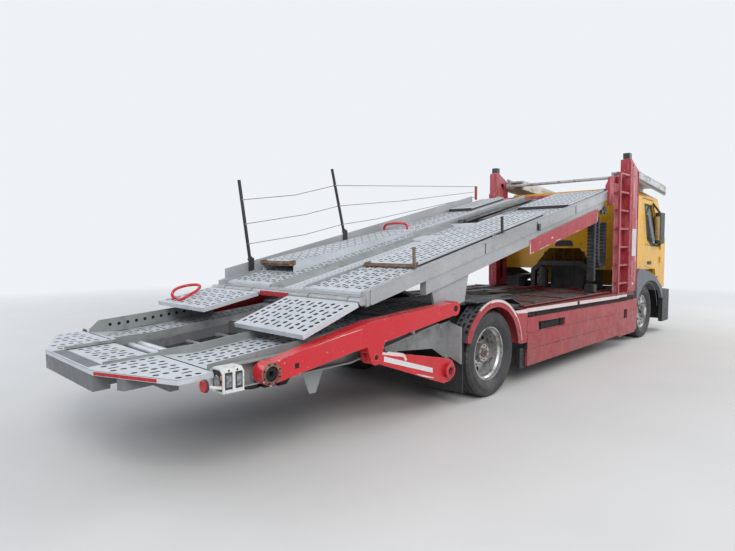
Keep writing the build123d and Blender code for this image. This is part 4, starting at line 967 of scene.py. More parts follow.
def make_arm_details():
    foot, eye = (-2.84, 0.741), (-0.80, 0.415)
    face, near = 1.2475, 1.2468
    strip_rear, strip_front, fall = -1.70, -1.04, 0.312 * 0.66
    flake = [(-1.742, 0.722), (-1.70, 0.720), (-1.66, 0.7125), (-1.63, 0.716), (-1.60, 0.704),
             (-1.53, 0.692), (-1.46, 0.674), (-1.43, 0.655), (-1.405, 0.612), (-1.425, 0.600),
             (-1.452, 0.640), (-1.50, 0.652), (-1.55, 0.662), (-1.61, 0.676), (-1.65, 0.686),
             (-1.70, 0.695), (-1.735, 0.705)]
    scrape = [(-1.29, 0.470), (-1.20, 0.444), (-1.11, 0.416), (-1.02, 0.389), (-1.022, 0.381),
              (-1.12, 0.406), (-1.21, 0.434)]
    for name, side in (("right", -1), ("left", 1)):
        rust, dark, chips, strip, patch, rim, hole, tube = (Shell() for _ in range(8))
        rust.drum(foot[0], side * face, foot[1], 0.075, 0.008, bore=0.0535)
        rust.drum(foot[0], side * face, foot[1], 0.060, 0.013, bore=0.0530)
        # A near-black drum behind the ring fills its bore: painted shade inside the eye
        dark.drum(foot[0], side * 1.200, foot[1], 0.0518, 0.085, bore=0.020)
        dark.bolts([(s, side * 1.2515, z) for s, z in ring(foot, 0.067, turn(8))], 0.0055, 0.003)
        dark.block(-2.648, -2.612, side * 1.2465, side * 1.2485, 0.745, 0.781, 0)
        dark.bolts([(-1.83, side * 1.2485, 0.70)], 0.016, 0.004)
        dark.drum(-0.73, side * face, 1.0, 0.030, 0.006)
        chips.prism([(-2.55, 0.865), (-2.20, 0.921), (-1.99, 0.946), (-1.99, 0.942), (-2.21, 0.914)],
                    side * near, side * (near + 0.001))
        for s, z, w in ((-2.79, 0.823, 0.020), (-2.91, 0.70, 0.014), (-2.86, 0.665, 0.020),
                        (-2.74, 0.80, 0.010)):
            chip = [(s, z), (s + w, z + 0.004), (s + w * 0.7, z - 0.006), (s + 0.1 * w, z - 0.005)]
            chips.prism(chip, side * near, side * (near + 0.0012))
        rust.piece("long_arm_ring_" + name, "long_arms", "dark_metal", "rusty")
        dark.piece("long_arm_fittings_and_shade_" + name, "long_arms", "dark_metal", "painted_shade_black")
        chips.piece("long_arm_chips_" + name, "long_arms", "red_paint", "worn_white")

        along = side_plane(side, 1.2115)
        strip.put_loop(along, [(strip_rear, 0.684), (strip_front, 0.684 - fall), (strip_front, 0.640 - fall),
                               (strip_rear, 0.640)], 0.0, -0.0018)
        patch.put_loop(along, flake, 0.0, -0.0012)
        patch.put_loop(along, scrape, 0.0, -0.0012)
        rim.drum(eye[0], side * 1.2405, eye[1], 0.070, 0.019, bore=0.0525)
        # The tube inside the eye takes the darker skirt red: painted shade inside the eye
        tube.drum(eye[0], side * 1.222, eye[1], 0.0515, 0.045, bore=0.036)
        # The slot is a thin near-black block: painted shade in the slot
        hole.block(-1.79, -1.66, side * 1.2112, side * 1.2128, 0.727, 0.735, 0, (0.30, "Y"))
        strip.piece("short_arm_strip_" + name, "short_arms", "white_lamp", "strip_white")
        patch.piece("short_arm_worn_" + name, "short_arms", "red_paint", "worn_white")
        rim.piece("short_arm_eye_" + name, "short_arms", "red_paint", "arm_red")
        hole.piece("short_arm_slot_" + name, "short_arms", "dark_metal", "painted_shade_black")
        tube.piece("short_arm_tube_painted_shade_" + name, "short_arms", "red_paint", "skirt_red")


def make_lamps():
    red, clear, amber, dark, box = (Shell() for _ in range(5))
    rear, middle = -3.193, (1.168, 0.752)
    face = [(1.0905, 0.700), (1.115, 0.676), (1.245, 0.676), (1.245, 0.800), (1.215, 0.829), (1.115, 0.829),
            (1.0905, 0.805)]
    count = len(face)

    def shrunk(part):
        return [(y + (middle[0] - y) * part, z + (middle[1] - z) * part) for y, z in face]

    box.front_prism(face, -3.185, -3.051)
    around = [(k, (k + 1) % count) for k in range(count)]
    hood = []
    for a, b, c, d in ((0, 0, 1, 1), (3, 3, 2, 2), (0, 0, 2, 2), (1, 1, 3, 3)):
        hood += [[a * count + i, b * count + j, c * count + j, d * count + i] for i, j in around]
    box.put([at(s, y, z) for s in (-3.202, -3.186) for y, z in face + shrunk(0.14)], hood)
    dark.front_prism(shrunk(0.15), -3.190, -3.1855)
    clear.drum(rear, 1.155, 0.745, 0.037, 0.008, "X", 28)
    amber.drum(rear, 1.213, 0.770, 0.016, 0.008, "X", 18)
    red.drum(rear, 1.213, 0.722, 0.018, 0.008, "X", 18)
    for a, b in ((-3.188, -3.136), (-3.114, -3.064)):
        dark.block(a, b, 1.2445, 1.2470, 0.700, 0.806, 0.001)
        clear.block(a + 0.008, b - 0.008, 1.2465, 1.2490, 0.716, 0.790, 0.001)
    dark.drum(-3.300, 1.2025, 0.740, 0.0415, 0.016, "X", 28)
    red.drum(-3.312, 1.2025, 0.740, 0.0370, 0.014, "X", 28)
    dark.bolts([(-3.10, 1.246, 0.818), (-3.16, 1.246, 0.818)], 0.005, 0.0015)
    box.mirror()
    for side in (-1, 1):
        stalk = ((-3.15, 1.222, 0.700), (-3.24, 1.222, 0.722), (-3.292, 1.212, 0.736))
        box.pipe([at(s, side * y, z) for s, y, z in stalk], 0.010, 10)
    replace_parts(box.piece("rear_lamp_boxes", "chassis", "white_lamp"), "rear_lamps")
    red.mirror().piece("red_lenses", "chassis", None, "red_lamp")
    clear.mirror().piece("clear_lenses", "chassis", "white_lamp", "clear_lamp")
    amber.mirror().piece("amber_lenses", "chassis", None, "amber_lamp")
    dark.mirror().piece("lamp_backs", "chassis", "black_plastic")


def make_mast_details():
    dark, label, red, scuffs = (Shell() for _ in range(4))
    face, foot = 1.249, 0.93
    for k in range(15):
        dark.drum(4.065, 1.2503, 1.02 + 0.12 * k, 0.011, 0.0025, sides=12, chamfer=0.0005)
    red.block(4.000, 4.012, face, 1.258, foot, 2.93, 0.002)
    red.block(4.386, 4.399, face, 1.258, foot, 2.80, 0.002)
    red.block(4.120, 4.128, face, 1.2545, foot, 2.90, 0.001)
    for z in (foot, 1.30, 2.10, 2.70):
        red.block(4.010, 4.388, face, 1.2555, z, z + 0.012, 0.001)
    for s, z0, z1 in ((4.335, 1.02, 2.40), (4.352, 1.35, 2.02), (4.188, 1.10, 1.36), (4.205, 2.20, 2.60)):
        scuffs.block(s - 0.006, s + 0.006, 1.2495, 1.2508, z0, z1, 0)
    dark.bolts([(s, 1.2515, z) for s in (4.04, 4.36) for z in (0.90, 0.96, 2.78)], 0.010, 0.005)
    cap, skin = (4.0175, 4.1325, 1.1275, 1.2225), 0.0025
    for s0, s1, y0, y1 in ((cap[0], cap[1], cap[2], cap[2] + skin), (cap[0], cap[1], cap[3] - skin, cap[3]),
                           (cap[0], cap[0] + skin, cap[2], cap[3]), (cap[1] - skin, cap[1], cap[2], cap[3])):
        dark.block(s0, s1, y0, y1, 2.975, 3.0595, 0)
    for shell in (dark, red, scuffs):
        shell.mirror()
    label.block(4.150, 4.345, -1.2532, -1.2500, 1.435, 1.869, 0)
    label.block(4.20, 4.26, -1.2532, -1.2500, 0.970, 1.010, 0)
    for k in range(7):
        z = 1.02 + 0.28 * k
        for s in (3.605, 3.99):
            red.drum(s, -1.198, z, 0.024, 0.012, "X", 12)
        dark.block(3.65, 3.97, -1.212, -1.184, z + 0.0115, z + 0.0175, 0)
    red.block(3.578, 3.622, -1.2515, -1.219, 0.86, 0.90, 0.002)
    dark.piece("mast_fittings", "chassis", "dark_metal", "black_steel")
    label.piece("mast_label_blank", "chassis", "white_lamp", "label_white")
    red.piece("mast_ribs", "chassis", "red_paint", "mast_red")
    scuffs.piece("mast_scuffs", "chassis", "red_paint", "worn_white")


def chain_links(shell, path, y0, y1, thick, pitch):
    """Flat links laid one after another along a (station, height) path."""
    points = [Vector(p) for p in path]
    legs = [(b - a).length for a, b in zip(points, points[1:])]
    for k in range(int(sum(legs) / pitch)):
        run, leg = (k + 0.5) * pitch, 0
        while run > legs[leg]:
            run -= legs[leg]
            leg += 1
        way = (points[leg + 1] - points[leg]).normalized()
        off = Vector((-way.y, way.x))
        middle = points[leg] + way * run
        for long, wide, inset in ((0.47, 0.5, 0.008), (0.30, 0.42, 0.0)):
            a, b = way * pitch * long, off * thick * wide
            corners = [middle - a - b, middle + a - b, middle + a + b, middle - a + b]
            shell.prism([(c.x, c.y) for c in corners], y0 + inset, y1 - inset)


def make_chain():
    links, dark, red, chips, roller = (Shell() for _ in range(5))
    y0, y1, bottom = -1.055, -0.945, 1.41
    chain_links(links, [(3.15, 2.06), (3.15, 1.02)], y0, y1, 0.070, 0.052)
    angles = [math.pi * (1 + k / 8) for k in range(1, 8)]
    bend = [(3.43 + 0.13 * math.cos(a), bottom + 0.12 * math.sin(a)) for a in angles]
    loop = [(3.30, 2.02), (3.30, bottom)] + bend + [(3.56, bottom), (3.56, 1.98)]
    chain_links(links, loop, y0, y1, 0.066, 0.050)
    dark.block(3.09, 3.21, -1.07, -0.93, 0.90, 1.02, 0.006)
    links.piece("energy_chain", "chassis", "black_plastic", "chain_black")

    def on_valance(u, v, depth):
        return at(u, -1.1462 - depth, deck_top(u) - v)

    for u0, u1, v0, v1 in ((0.922, 0.940, 0.18, 0.32), (0.93, 1.02, 0.322, 0.329),
                           (1.18, 1.42, 0.324, 0.332), (1.62, 1.74, 0.318, 0.331),
                           (2.22, 2.33, 0.333, 0.341), (2.965, 2.979, 0.20, 0.33),
                           (1.49, 1.53, 0.25, 0.27)):
        notch = ((u0 + u1) / 2, v0 + 0.3 * (v1 - v0))
        chips.put_loop(on_valance, [(u0, v0), notch, (u1, v0), (u1, v1), (u0, v1)], 0.0, 0.0010)
    chips.piece("valance_chips", "upper_deck", "red_paint", "worn_white")
    dark.piece("energy_chain_foot", "chassis", "black_plastic")

    roller.drum(3.245, -1.15, 2.128, 0.058, 0.020, bore=0.012)
    roller.bolts([(3.245, -1.162, 2.128)], 0.012, 0.005)
    roller.block(3.06, 3.13, -1.175, -1.142, 2.062, 2.12, 0.003)
    roller.piece("deck_roller", "upper_deck", "dark_metal", "black_steel")
    red.block(3.328, 3.345, -1.235, -1.150, 2.20, 2.61, 0.003)
    red.block(3.345, 3.43, -1.165, -1.150, 2.24, 2.40, 0.003)
    red.block(3.26, 3.30, 1.085, 1.12, 2.42, 2.66, 0.005)
    red.piece("deck_red_plates", "upper_deck", "red_paint", "mast_red")


def make_stanchions():
    posts, wires = Shell(), Shell()
    y = 1.132
    for (s0, z0), (s1, z1) in (((-1.418, 1.405), (-1.558, 2.337)), ((0.082, 1.755), (-0.142, 2.608))):
        posts.pipe([at(s0, y, z0 - 0.02), at(s1, y, z1)], 0.019, 14)
        posts.block(s0 - 0.035, s0 + 0.035, 1.105, 1.1245, z0 - 0.10, z0 + 0.05, 0.003)
        posts.pipe([at(s0 - 0.02, y, z0 + 0.02), at(s0 + 0.02, y, z0 + 0.05)], 0.026, 12)
    for line in (((-1.525, 2.115), (-0.753, 2.224), (-0.092, 2.395), (1.248, 2.499), (3.28, 2.655)),
                 ((-1.484, 1.843), (-0.596, 1.990), (-0.020, 2.130), (1.30, 2.28), (3.28, 2.56)),
                 ((-1.450, 1.615), (-0.598, 1.738), (0.042, 1.885), (0.70, 1.98), (3.28, 2.47))):
        wires.pipe([at(s, y, z) for s, z in line], 0.0042, 6)
        for s, z in (line[0], line[2]):
            wires.drum(s, y, z, 0.012, 0.048, sides=10)
    posts.piece("stanchions", "upper_deck", "dark_metal", "black_steel")
    wires.piece("stanchion_wires", "upper_deck", "dark_metal", "wire_grey")


def make_deck_details():
    red, dark, rust, bright, strip, edge = (Shell() for _ in range(6))
    hoop = [(0.83, 0.645, 0.0), (0.825, 0.650, -0.085), (0.82, 0.72, -0.118), (0.82, 1.0, -0.118),
            (0.825, 1.075, -0.085), (0.83, 1.08, 0.0)]
    red.pipe([on_deck(*p) for p in hoop], 0.017, 12, 2)
    for y in (0.645, 1.08):
        red.bar(on_deck, [0.79, 0.87], y - 0.03, y + 0.03, -0.008, 0.002)
    red.piece("deck_hoop", "upper_deck", "red_paint", "arm_red")

    for shell, radius, y, (sa, da), (sb, db) in (
            (rust, 0.015, -1.035, (-1.09, 0.0), (-1.10, -0.21)),
            (dark, 0.017, -1.05, (0.449, 0.0), (0.440, -0.21)),
            (rust, 0.020, -1.035, (-1.101, -0.205), (-1.103, -0.222))):
        shell.pipe([on_deck(sa, y, da), on_deck(sb, y, db)], radius, 12)
    for s in (-1.41, 0.187):
        loop = [(-0.022, -0.022), (-0.022, -0.058), (0.0, -0.078), (0.022, -0.058), (0.022, -0.022)]
        bright.pipe([on_deck(s + u, -1.105, d) for u, d in loop], 0.0055, 8, 1)
        bright.bar(on_deck, [s - 0.035, s + 0.035], -1.125, -1.085, -0.031, -0.024)
    dark.bar(on_deck, [0.40, 0.50], -1.070, -1.030, -0.022, 0.001)
    dark.block(1.105, 1.155, -1.166, -1.140, 1.775, 1.86, 0.003)
    for s in (-0.06, 1.09, 2.20):
        dark.bar(on_deck, [s - 0.004, s + 0.004], -1.1530, -1.1400, -0.0240, 0.0925)
    for s in (-1.66 + 0.30 * k for k in range(17)):
        bright.bolts([(s, side * 1.1490, deck_top(s) - 0.04) for side in (-1, 1)], 0.0075, 0.003)
    for s in (-1.66 + 0.19 * k for k in range(26)):
        bright.drum(s, -1.105, deck_top(s) + 0.0265, 0.0065, 0.004, "Z", 8, chamfer=0.001)
    rust.piece("deck_stake_rusty", "upper_deck", "dark_metal", "rusty")
    bright.piece("deck_beam_fittings", "upper_deck", "galvanised")
    dark.piece("deck_stake_black", "upper_deck", "dark_metal", "black_steel")

    for y in (-0.222 + 0.0495 * k for k in range(9)):
        strip.block(-1.9205, -1.9145, y, y + 0.046, 1.117, 1.160, 0.001)
    strip.piece("deck_rear_reflector", "upper_deck", None, "red_lamp")

    def on_cut(part):
        """The point a part of the way along the tail's cut corner."""
        return TAIL_END + (TAIL_BEND - TAIL_END) * part, TAIL_CUT + (TAIL_WIDE - TAIL_CUT) * part

    for side in (-1, 1):
        for part in (0.015 + 0.108 * k for k in range(7)):
            edge.put_wall(outwards(side), on_cut(part), on_cut(part + 0.104), 0.009, 0.030, -0.002)
    edge.piece("tail_reflectors", "chassis", None, "red_lamp")


def make_rear_details():
    grey, dark, rubber, guard = (Shell() for _ in range(4))
    spacers = ((-2.90, 0.715), (-2.35, 0.765), (-1.75, 0.815), (-1.62, 0.820))
    plates = ((-1.70, 0.79), (-1.30, 0.80), (-0.72, 0.81), (-0.62, 0.50))
    grey.bolts([(s, 1.1315, z) for s, z in spacers], 0.010, 0.005)
    grey.bolts([(s, 1.0655, z) for s, z in plates], 0.009, 0.004)
    rubber.block(-0.5685, -0.5645, 0.76, 1.20, 0.755, 0.785, 0)
    guard.front_prism([(1.060, 0.50), (1.218, 0.44), (1.218, 0.800), (1.060, 0.846)], -0.590, -0.584)
    guard.front_prism([(1.180, 0.455), (1.218, 0.44), (1.218, 0.800), (1.180, 0.810)], -0.5945, -0.590)
    heads = ((1.10, 0.79), (1.10, 0.60), (1.20, 0.70), (1.20, 0.52))
    guard.bolts([(-0.592, y, z) for y, z in heads], 0.008, 0.005, "X")
    dark.block(-0.5725, -0.5675, 0.62, 1.205, 0.758, 0.782, 0.001)
    for y in (0.68, 0.85, 1.02, 1.17):
        dark.drum(-0.574, y, 0.770, 0.010, 0.008, "X", 6)
    for shell in (grey, dark, rubber, guard):
        shell.mirror()
    grey.pipe([at(-1.20, -1.105, 0.80), at(-1.20, -1.105, 0.995)], 0.022, 14)
    grey.pipe([at(-1.20, -1.105, 0.990), at(-1.20, -1.105, 1.006)], 0.017, 14)
    dark.bar(on_lower, [-3.228, -2.160], -0.384, 0.384, 0.1265, 0.1292)
    for s in (-2.95, -2.60, -2.30):
        grey.bar(on_lower, [s - 0.015, s + 0.015], -0.383, 0.383, 0.100, 0.126)
    for y in (-0.25, 0.0, 0.25):
        dark.bar(on_lower, [-3.0, -2.17], y - 0.012, y + 0.012, 0.110, 0.127)
    grey.piece("rear_fittings", "chassis", "galvanised")
    dark.piece("tail_recess_floor", "chassis", "dark_metal", "black_steel")
    guard.piece("guard_end_plates", "chassis", "galvanised")
    rubber.piece("mudflap_straps", "chassis", "black_rubber")


make_skirts()
make_fenders()
make_arm_details()
make_lamps()
make_mast_details()
make_chain()
make_stanchions()
make_deck_details()


# Wheels


def tyre_profile():
    """A tyre's closed (along, radius) section, with four grooves in its tread."""
    half = [(0.0899, 0.286), (0.104, 0.290), (0.113, 0.301), (0.127, 0.323), (0.138, 0.347),
            (0.1445, 0.372), (0.1445, 0.381), (0.1405, 0.3835), (0.1405, 0.3875), (0.1435, 0.390),
            (0.140, 0.404), (0.136, 0.4065), (0.1345, 0.423), (0.1300, 0.436), (0.1240, 0.4425),
            (0.1102, 0.4545)]
    tread, groove = 0.4549, 0.4430
    for outer, inner in ((0.0820, 0.0700), (0.0330, 0.0210)):
        half += [(outer, tread), (outer - 0.002, groove), (inner + 0.002, groove), (inner, tread)]
    return half + [(-along, radius) for along, radius in reversed(half)]


def make_wheel_fittings(body, station, side, rear):
    """The nuts, hub and valve of one wheel."""
    nuts, dark = Shell(), Shell()
    face = side * (0.975 if rear else 1.135)
    hub = (station, AXLE_HEIGHT)
    for s, z in ring(hub, 0.1425, turn(10)):
        nuts.drum(s, face + side * 0.013, z, 0.0165, 0.030, sides=6)
        nuts.drum(s, face + side * 0.022, z, 0.0095, 0.046, sides=10, chamfer=0.002)
        nuts.drum(s, face + side * 0.003, z, 0.021, 0.008, sides=16)
    if rear:
        for s, z in ring(hub, 0.074, turn(8, 0.0)):
            nuts.drum(s, side * 1.112, z, 0.009, 0.014, sides=6)
        nuts.drum(station, side * 1.113, AXLE_HEIGHT, 0.052, 0.014)
        dark.drum(station, side * 1.116, AXLE_HEIGHT, 0.020, 0.014)
    else:
        nuts.drum(station, side * 1.1925, AXLE_HEIGHT, 0.058, 0.004)
        dark.drum(station, side * 1.149, AXLE_HEIGHT, 0.107, 0.006, bore=0.076)
    valve = station + 0.205
    dark.pipe([at(valve, face, AXLE_HEIGHT), at(valve + 0.02, face + side * 0.05, AXLE_HEIGHT)], 0.006, 8)
    nuts.piece(body + "_nuts", body, "wheel_alloy", "rusty" if rear else "wheel_alloy")
    dark.piece(body + "_hub", body, "dark_metal", "black_steel")


def make_wheels():
    profile = tyre_profile()
    count = len(profile)
    shoulder = {14: 0.010, 15: 0.008, 16: 0.004}

    def lug(i, k):
        """How deep the shoulder is cut at a profile point, every fourth step round the tyre."""
        return 0.0 if k % 4 else shoulder.get(min(i, count - 1 - i), 0.0)

    for node, body, station, side, places in (
            ("tyre_front_right", "wheel_front_right", WHEELBASE, -1, (1.03,)),
            ("tyre_front_left", "wheel_front_left", WHEELBASE, 1, (1.03,)),
            ("tyres_rear_right", "wheels_rear_right", 0.0, -1, (1.07, 0.745)),
            ("tyres_rear_left", "wheels_rear_left", 0.0, 1, (1.07, 0.745))):
        rubber = Shell()
        for y in places:
            rubber.lathe(profile, station, side * y, AXLE_HEIGHT, 144, lug=lug)
        piece = rubber.piece(node + "_tread", body, "tyre_rubber", angle=28.0)
        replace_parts(piece, node)
        make_wheel_fittings(body, station, side, station == 0.0)


# Cab


def cab_side(z):
    """Half width of the cab's side at a height."""
    return CAB_SIDE - max(0.0, z - 1.65) / 0.81 * 0.07


def make_cab_back():
    dark, press, grey = Shell(), Shell(), Shell()
    wall = (4.4655, 4.4705)
    oval = [(-0.458 + 0.075 * math.cos(a), 1.928 + 0.026 * math.sin(a)) for a in turn(20, 0.0)]
    dark.front_prism(oval, 4.4665, 4.4705)
    for y, z in ((-0.055, 1.634), (-0.307, 1.633), (0.307, 1.633), (-0.9, 1.634), (0.9, 1.634)):
        dark.drum(4.469, y, z, 0.012, 0.008, "X", 10)
    dark.front_prism([(-0.17, 1.60), (0.17, 1.60), (0.13, 1.70), (-0.13, 1.70)], 4.455, 4.472)
    dark.piece("cab_back_fittings", "chassis", "black_plastic")
    for y0, y1, z in ((-1.10, -0.60, 1.30), (-1.10, -0.60, 1.36), (0.60, 1.10, 1.30), (0.60, 1.10, 1.36),
                      (-1.04, 1.04, 2.30), (-1.02, 1.02, 2.38), (-1.06, 1.06, 2.08), (-1.06, 1.06, 1.78)):
        press.block(*wall, y0, y1, z, z + 0.022, 0.002)
    for side in (-1, 1):
        press.block(*wall, side * 1.08 - 0.012, side * 1.08 + 0.012, 1.40, 2.26, 0.002)
        for z in (1.30, 1.335):
            press.block(4.50, 5.05, side * (CAB_SIDE - 0.002), side * (CAB_SIDE + 0.003),
                        z, z + 0.012, 0.001)
    press.piece("cab_pressings", "chassis", "yellow_paint")

    for y in (-0.36, -0.18, 0.0, 0.18, 0.36):
        grey.block(4.452, 4.470, y - 0.006, y + 0.006, 0.92, 1.50, 0.002)
    grey.drum(4.30, 0.30, 1.02, 0.085, 0.30, "Z", 28)
    grey.drum(4.30, 0.30, 1.19, 0.070, 0.05, "Z", 28)
    grey.piece("cab_back_ribs", "chassis", "black_plastic")


def make_door_details():
    window = [(5.19, 1.712), (5.19, 2.338), (5.665, 2.323), (5.862, 1.655), (5.742, 1.600), (5.42, 1.600)]
    for name, side in (("right", -1), ("left", 1)):
        seal, handle, glass = Shell(), Shell(), Shell()
        outline = [at(s, side * (cab_side(z) + 0.001), z) for s, z in window]
        seal.pipe(outline + outline[:2], 0.0085, 8)
        seal.pipe([at(s, side * (CAB_SIDE + 0.0005), z) for s, z in ((5.09, 1.62), (5.92, 1.585))], 0.006, 6)
        handle.drum(5.32, side * 1.176, 1.30, 0.030, 0.006, sides=20)
        handle.block(5.215, 5.425, side * 1.172, side * 1.1795, 1.272, 1.330, 0.003)
        handle.block(5.235, 5.405, side * 1.178, side * 1.1925, 1.292, 1.312, 0.004)
        handle.bolts([(5.45, side * 1.177, 1.30)], 0.009, 0.003)
        handle.block(5.50, 5.83, side * 1.1755, side * 1.181, 1.02, 1.045, 0.002)
        seal.piece("door_seals_" + name, "door_" + name, "black_plastic", "black_rubber")
        handle.piece("door_handle_" + name, "door_" + name, "black_plastic")
        glass.block(5.4962, 5.4995, side * 1.208, side * 1.281, 1.70, 2.12, 0.001)
        glass.piece("mirror_glass_" + name, "door_" + name, "chrome_rod")


def make_cab_front():
    fittings, lens, amber, bowls, plate = (Shell() for _ in range(5))
    lamp_low, lamp_high = 0.565, 0.695
    for z in (0.36, 0.60):
        fittings.block(5.98, 6.28, 1.236, 1.2415, z, z + 0.012, 0.001)
    fittings.arc((WHEELBASE, AXLE_HEIGHT), 0.500, 0.520, 8.0, 172.0, 1.2385, 1.2425, 40)
    fittings.front_prism(rectangle(0.78, 1.06, 0.56, 0.70), 6.441, 6.446)
    lens.front_prism(rectangle(0.785, 0.985, lamp_low, lamp_high), 6.478, 6.484)
    amber.front_prism(rectangle(0.992, 1.055, lamp_low, lamp_high), 6.470, 6.484)
    for y in (0.835, 0.93):
        bowls.drum(6.462, y, 0.63, 0.042, 0.024, "X", 24, 0.020)
        bowls.drum(6.458, y, 0.63, 0.018, 0.020, "X", 16)
    for shell in (fittings, lens, amber, bowls):
        shell.mirror()
    for y0, y1 in ((0.05, 0.72), (-0.72, -0.05)):
        fittings.pipe([at(6.352, y0, 1.575), at(6.350, (y0 + y1) / 2, 1.60), at(6.322, y1, 1.675)],
                      0.008, 8, 1)
        fittings.pipe([at(6.350, y0 + 0.02, 1.60), at(6.330, y1 + 0.04, 1.655)], 0.006, 6)
    for count, half, foot, pitch, height, s0, s1 in ((6, 0.60, 0.885, 0.047, 0.020, 6.486, 6.4985),
                                                     (5, 0.48, 0.30, 0.036, 0.018, 6.4975, 6.4998)):
        for z in (foot + pitch * k for k in range(count)):
            fittings.front_prism(rectangle(-half, half, z, z + height), s0, s1)
    low, high = (6.4562, 1.215), (6.3818, 1.500)
    for (s, z), half in ((low, 0.96), (high, 0.98)):
        fittings.pipe([at(s, -half, z), at(s, half, z)], 0.0045, 6)
    for y in (-0.97, 0.97):
        fittings.pipe([at(low[0], y, low[1]), at(high[0], y, high[1])], 0.0045, 6)
    plate.front_prism(rectangle(-0.26, 0.26, 0.895, 1.005), 6.4965, 6.4992)
    fittings.piece("cab_front_fittings", "chassis", "black_plastic")
    lens.piece("headlamp_lenses", "chassis", "white_lamp", "clear_lamp")
    bowls.piece("headlamp_bowls", "chassis", "chrome_rod")
    amber.piece("front_indicators", "chassis", None, "amber_lamp")
    plate.piece("front_plate_blank", "chassis", "white_lamp", "label_white")


def make_over_cab():
    plates, dark, rail = Shell(), Shell(), Shell()
    face = (1.2140, 1.2185)
    for side in (-1, 1):
        v0, v1 = sorted((side * 0.815, side * 1.200))
        plates.plank(4.47, 6.03, v0, v1, below(on_over, -0.0070), 5, flange=0.0066, thick=0.0025)
    # Near-black strips under the plates and below the side rail: painted shade in these recesses
    dark.bar(on_over, [4.475, 6.025], 0.820, 1.195, -0.0030, -0.0012)
    dark.bar(on_over, [4.50, 6.00], 1.2145, 1.2175, 0.122, 0.160)
    rail.bar(on_over, [4.46, 6.04], *face, 0.002, 0.020)
    rail.bar(on_over, [4.46, 6.04], *face, 0.098, 0.112)
    rail.mirror().bar(on_over, [4.40, 4.96], 1.085, 1.125, -0.040, -0.006)
    plates.piece("over_cab_plates", "over_cab_deck", "weathered_grey", "deck_plate")
    dark.mirror().piece("over_cab_painted_shade", "over_cab_deck", "dark_metal", "black_steel")
    rail.piece("over_cab_rails", "over_cab_deck", "weathered_grey")


def make_lower_clutter():
    dark, red, grey = Shell(), Shell(), Shell()
    bed = 0.884
    red.block(0.80, 3.52, 1.075, 1.150, bed, 0.898, 0.003)
    red.bar(on_lower, [0.82, 3.50], 0.700, 0.722, -0.016, 0.001)
    for s in (1.1, 1.9, 2.7, 3.35):
        dark.block(s, s + 0.05, 1.078, 1.147, 0.8975, 0.905, 0.001)
    for s in (1.30, 2.10, 2.95):
        red.block(s, s + 0.035, 0.400, 1.040, bed, 0.896, 0.002)
    red.mirror()
    dark.mirror()
    for y, r, s0, s1, z in ((-0.12, 0.036, 0.95, 3.10, 0.870), (0.02, 0.022, 0.90, 3.12, 0.880),
                            (0.16, 0.036, 1.20, 3.05, 0.866), (0.29, 0.018, 0.85, 3.12, 0.880),
                            (-0.28, 0.018, 0.85, 3.12, 0.880)):
        dark.pipe([at(s0, y, z), at(s1, y, z - 0.004)], r)
        dark.drum(s0 + 0.03, y, z, r * 1.5, 0.04, "X", 14)
        dark.drum(s1 - 0.05, y, z, r * 1.3, 0.05, "X", 14)
    for s in (0.86, 1.55, 2.25, 2.90, 3.14):
        red.block(s - 0.028, s + 0.028, -0.380, 0.380, 0.806, 0.842)
    for s0, s1, y0, y1, z in ((1.42, 1.98, -0.355, -0.195, 0.902), (2.35, 2.80, 0.205, 0.360, 0.902),
                              (2.0, 2.34, -0.09, 0.10, 0.914)):
        grey.block(s0, s1, y0, y1, z, z + 0.006, 0.001)
        corners = [(s, y, z + 0.008) for s in (s0 + 0.04, s1 - 0.04) for y in (y0 + 0.03, y1 - 0.03)]
        grey.bolts(corners, 0.008, 0.004, "Z")
    dark.piece("lower_deck_tubes", "chassis", "dark_metal", "black_steel")
    red.piece("lower_deck_bars", "chassis", "red_frame")
    grey.piece("lower_deck_covers", "chassis", "galvanised", "guard_grey")


make_wheels()
make_cab_back()
make_door_details()
make_cab_front()
make_over_cab()
make_lower_clutter()
make_rear_details()


# Camera, light and floor


def add_object(name, data, place=(0, 0, 0), turned=(0, 0, 0)):
    thing = bpy.data.objects.new(name, data)
    thing.location = place
    thing.rotation_euler = turned
    bpy.context.scene.collection.objects.link(thing)
    return thing


def make_camera():
    data = bpy.data.cameras.new("camera")
    data.sensor_width = SENSOR
    data.lens = SENSOR * FOCAL_PIXELS / PHOTO_WIDTH
    data.clip_end = 200.0
    turned = (math.radians(90.0 - CAMERA_DOWN), 0.0, math.radians(CAMERA_TURN - 90.0))
    bpy.context.scene.camera = add_object("camera", data, CAMERA_PLACE, turned)


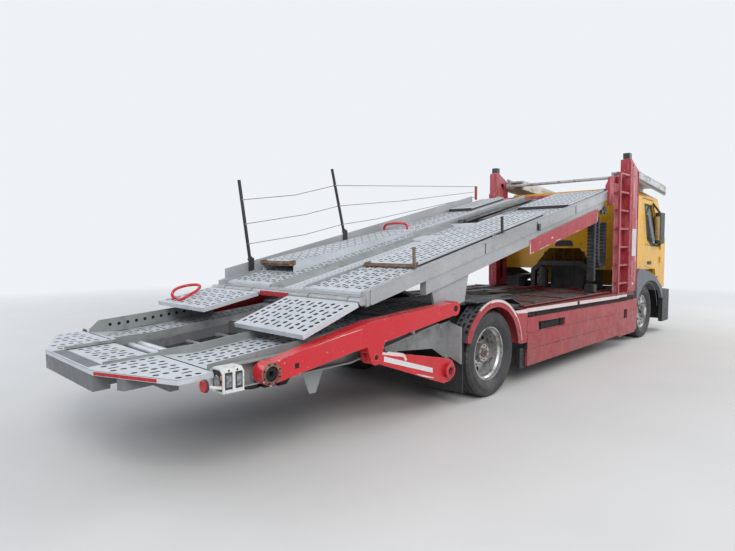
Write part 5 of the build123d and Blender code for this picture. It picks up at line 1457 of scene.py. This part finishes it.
def make_floor():
    """A pale floor that fades into the background well away from the truck."""
    reach, fade_start, fade_end = 90, 5.5, 17.0
    mesh = bpy.data.meshes.new("floor")
    mesh.from_pydata([(x, y, 0) for x, y in rectangle(-reach, reach, -reach, reach)], [], [[0, 1, 2, 3]])
    floor = add_object("floor", mesh)
    pale = Surface("floor_pale", (0.70, 0.70, 0.695), 0.8)
    pale.mottle((0.64, 0.64, 0.635), 0.8, 0.4, 0.7, 0.5)
    far = pale.tree.nodes.new("ShaderNodeVectorMath")
    far.operation = "LENGTH"
    pale.link(pale.coords, far.inputs[0])
    glow = pale.tree.nodes.new("ShaderNodeEmission")
    glow.inputs["Color"].default_value = (*BACKGROUND, 1)
    fade = pale.tree.nodes.new("ShaderNodeMixShader")
    pale.link(pale.ramp(far.outputs["Value"], fade_start, fade_end), fade.inputs[0])
    pale.link(pale.shader.outputs[0], fade.inputs[1])
    pale.link(glow.outputs[0], fade.inputs[2])
    pale.link(fade.outputs[0], pale.tree.nodes["Material Output"].inputs["Surface"])
    mesh.materials.append(pale.material)


def make_lights():
    aim = Vector((0, 0, 1.0))
    for name, place, size, power, colour in (
            ("key", (-9.0, -10.0, 9.0), 7.0, 1150.0, (1.0, 0.97, 0.93)),
            ("fill", (-9.0, 9.0, 8.0), 8.0, 520.0, (0.93, 0.96, 1.0)),
            ("front", (11.0, -6.0, 8.0), 7.0, 800.0, (1.0, 0.98, 0.95))):
        light = bpy.data.lights.new(name, "AREA")
        light.size = size
        light.energy = power
        light.color = colour
        add_object(name, light, place, (aim - Vector(place)).to_track_quat("-Z", "Y").to_euler())


def make_world():
    """Soft sky light, with the plain background where the camera, gloss or glass sees it."""
    world = bpy.data.worlds.new("world")
    bpy.context.scene.world = world
    world.use_nodes = True
    tree = world.node_tree
    sky = tree.nodes["Background"]
    sky.inputs["Color"].default_value = (0.80, 0.86, 0.95, 1)
    sky.inputs["Strength"].default_value = 0.50
    plain = tree.nodes.new("ShaderNodeBackground")
    plain.inputs["Color"].default_value = (*BACKGROUND, 1)
    path = tree.nodes.new("ShaderNodeLightPath")
    seen = path.outputs["Is Camera Ray"]
    for ray in ("Is Glossy Ray", "Is Transmission Ray"):
        either = tree.nodes.new("ShaderNodeMath")
        either.operation = "MAXIMUM"
        tree.links.new(seen, either.inputs[0])
        tree.links.new(path.outputs[ray], either.inputs[1])
        seen = either.outputs[0]
    mix = tree.nodes.new("ShaderNodeMixShader")
    tree.links.new(seen, mix.inputs[0])
    tree.links.new(sky.outputs[0], mix.inputs[1])
    tree.links.new(plain.outputs[0], mix.inputs[2])
    tree.links.new(mix.outputs[0], tree.nodes["World Output"].inputs["Surface"])


make_camera()
make_floor()
make_lights()
make_world()
bpy.context.scene.view_settings.view_transform = "Standard"
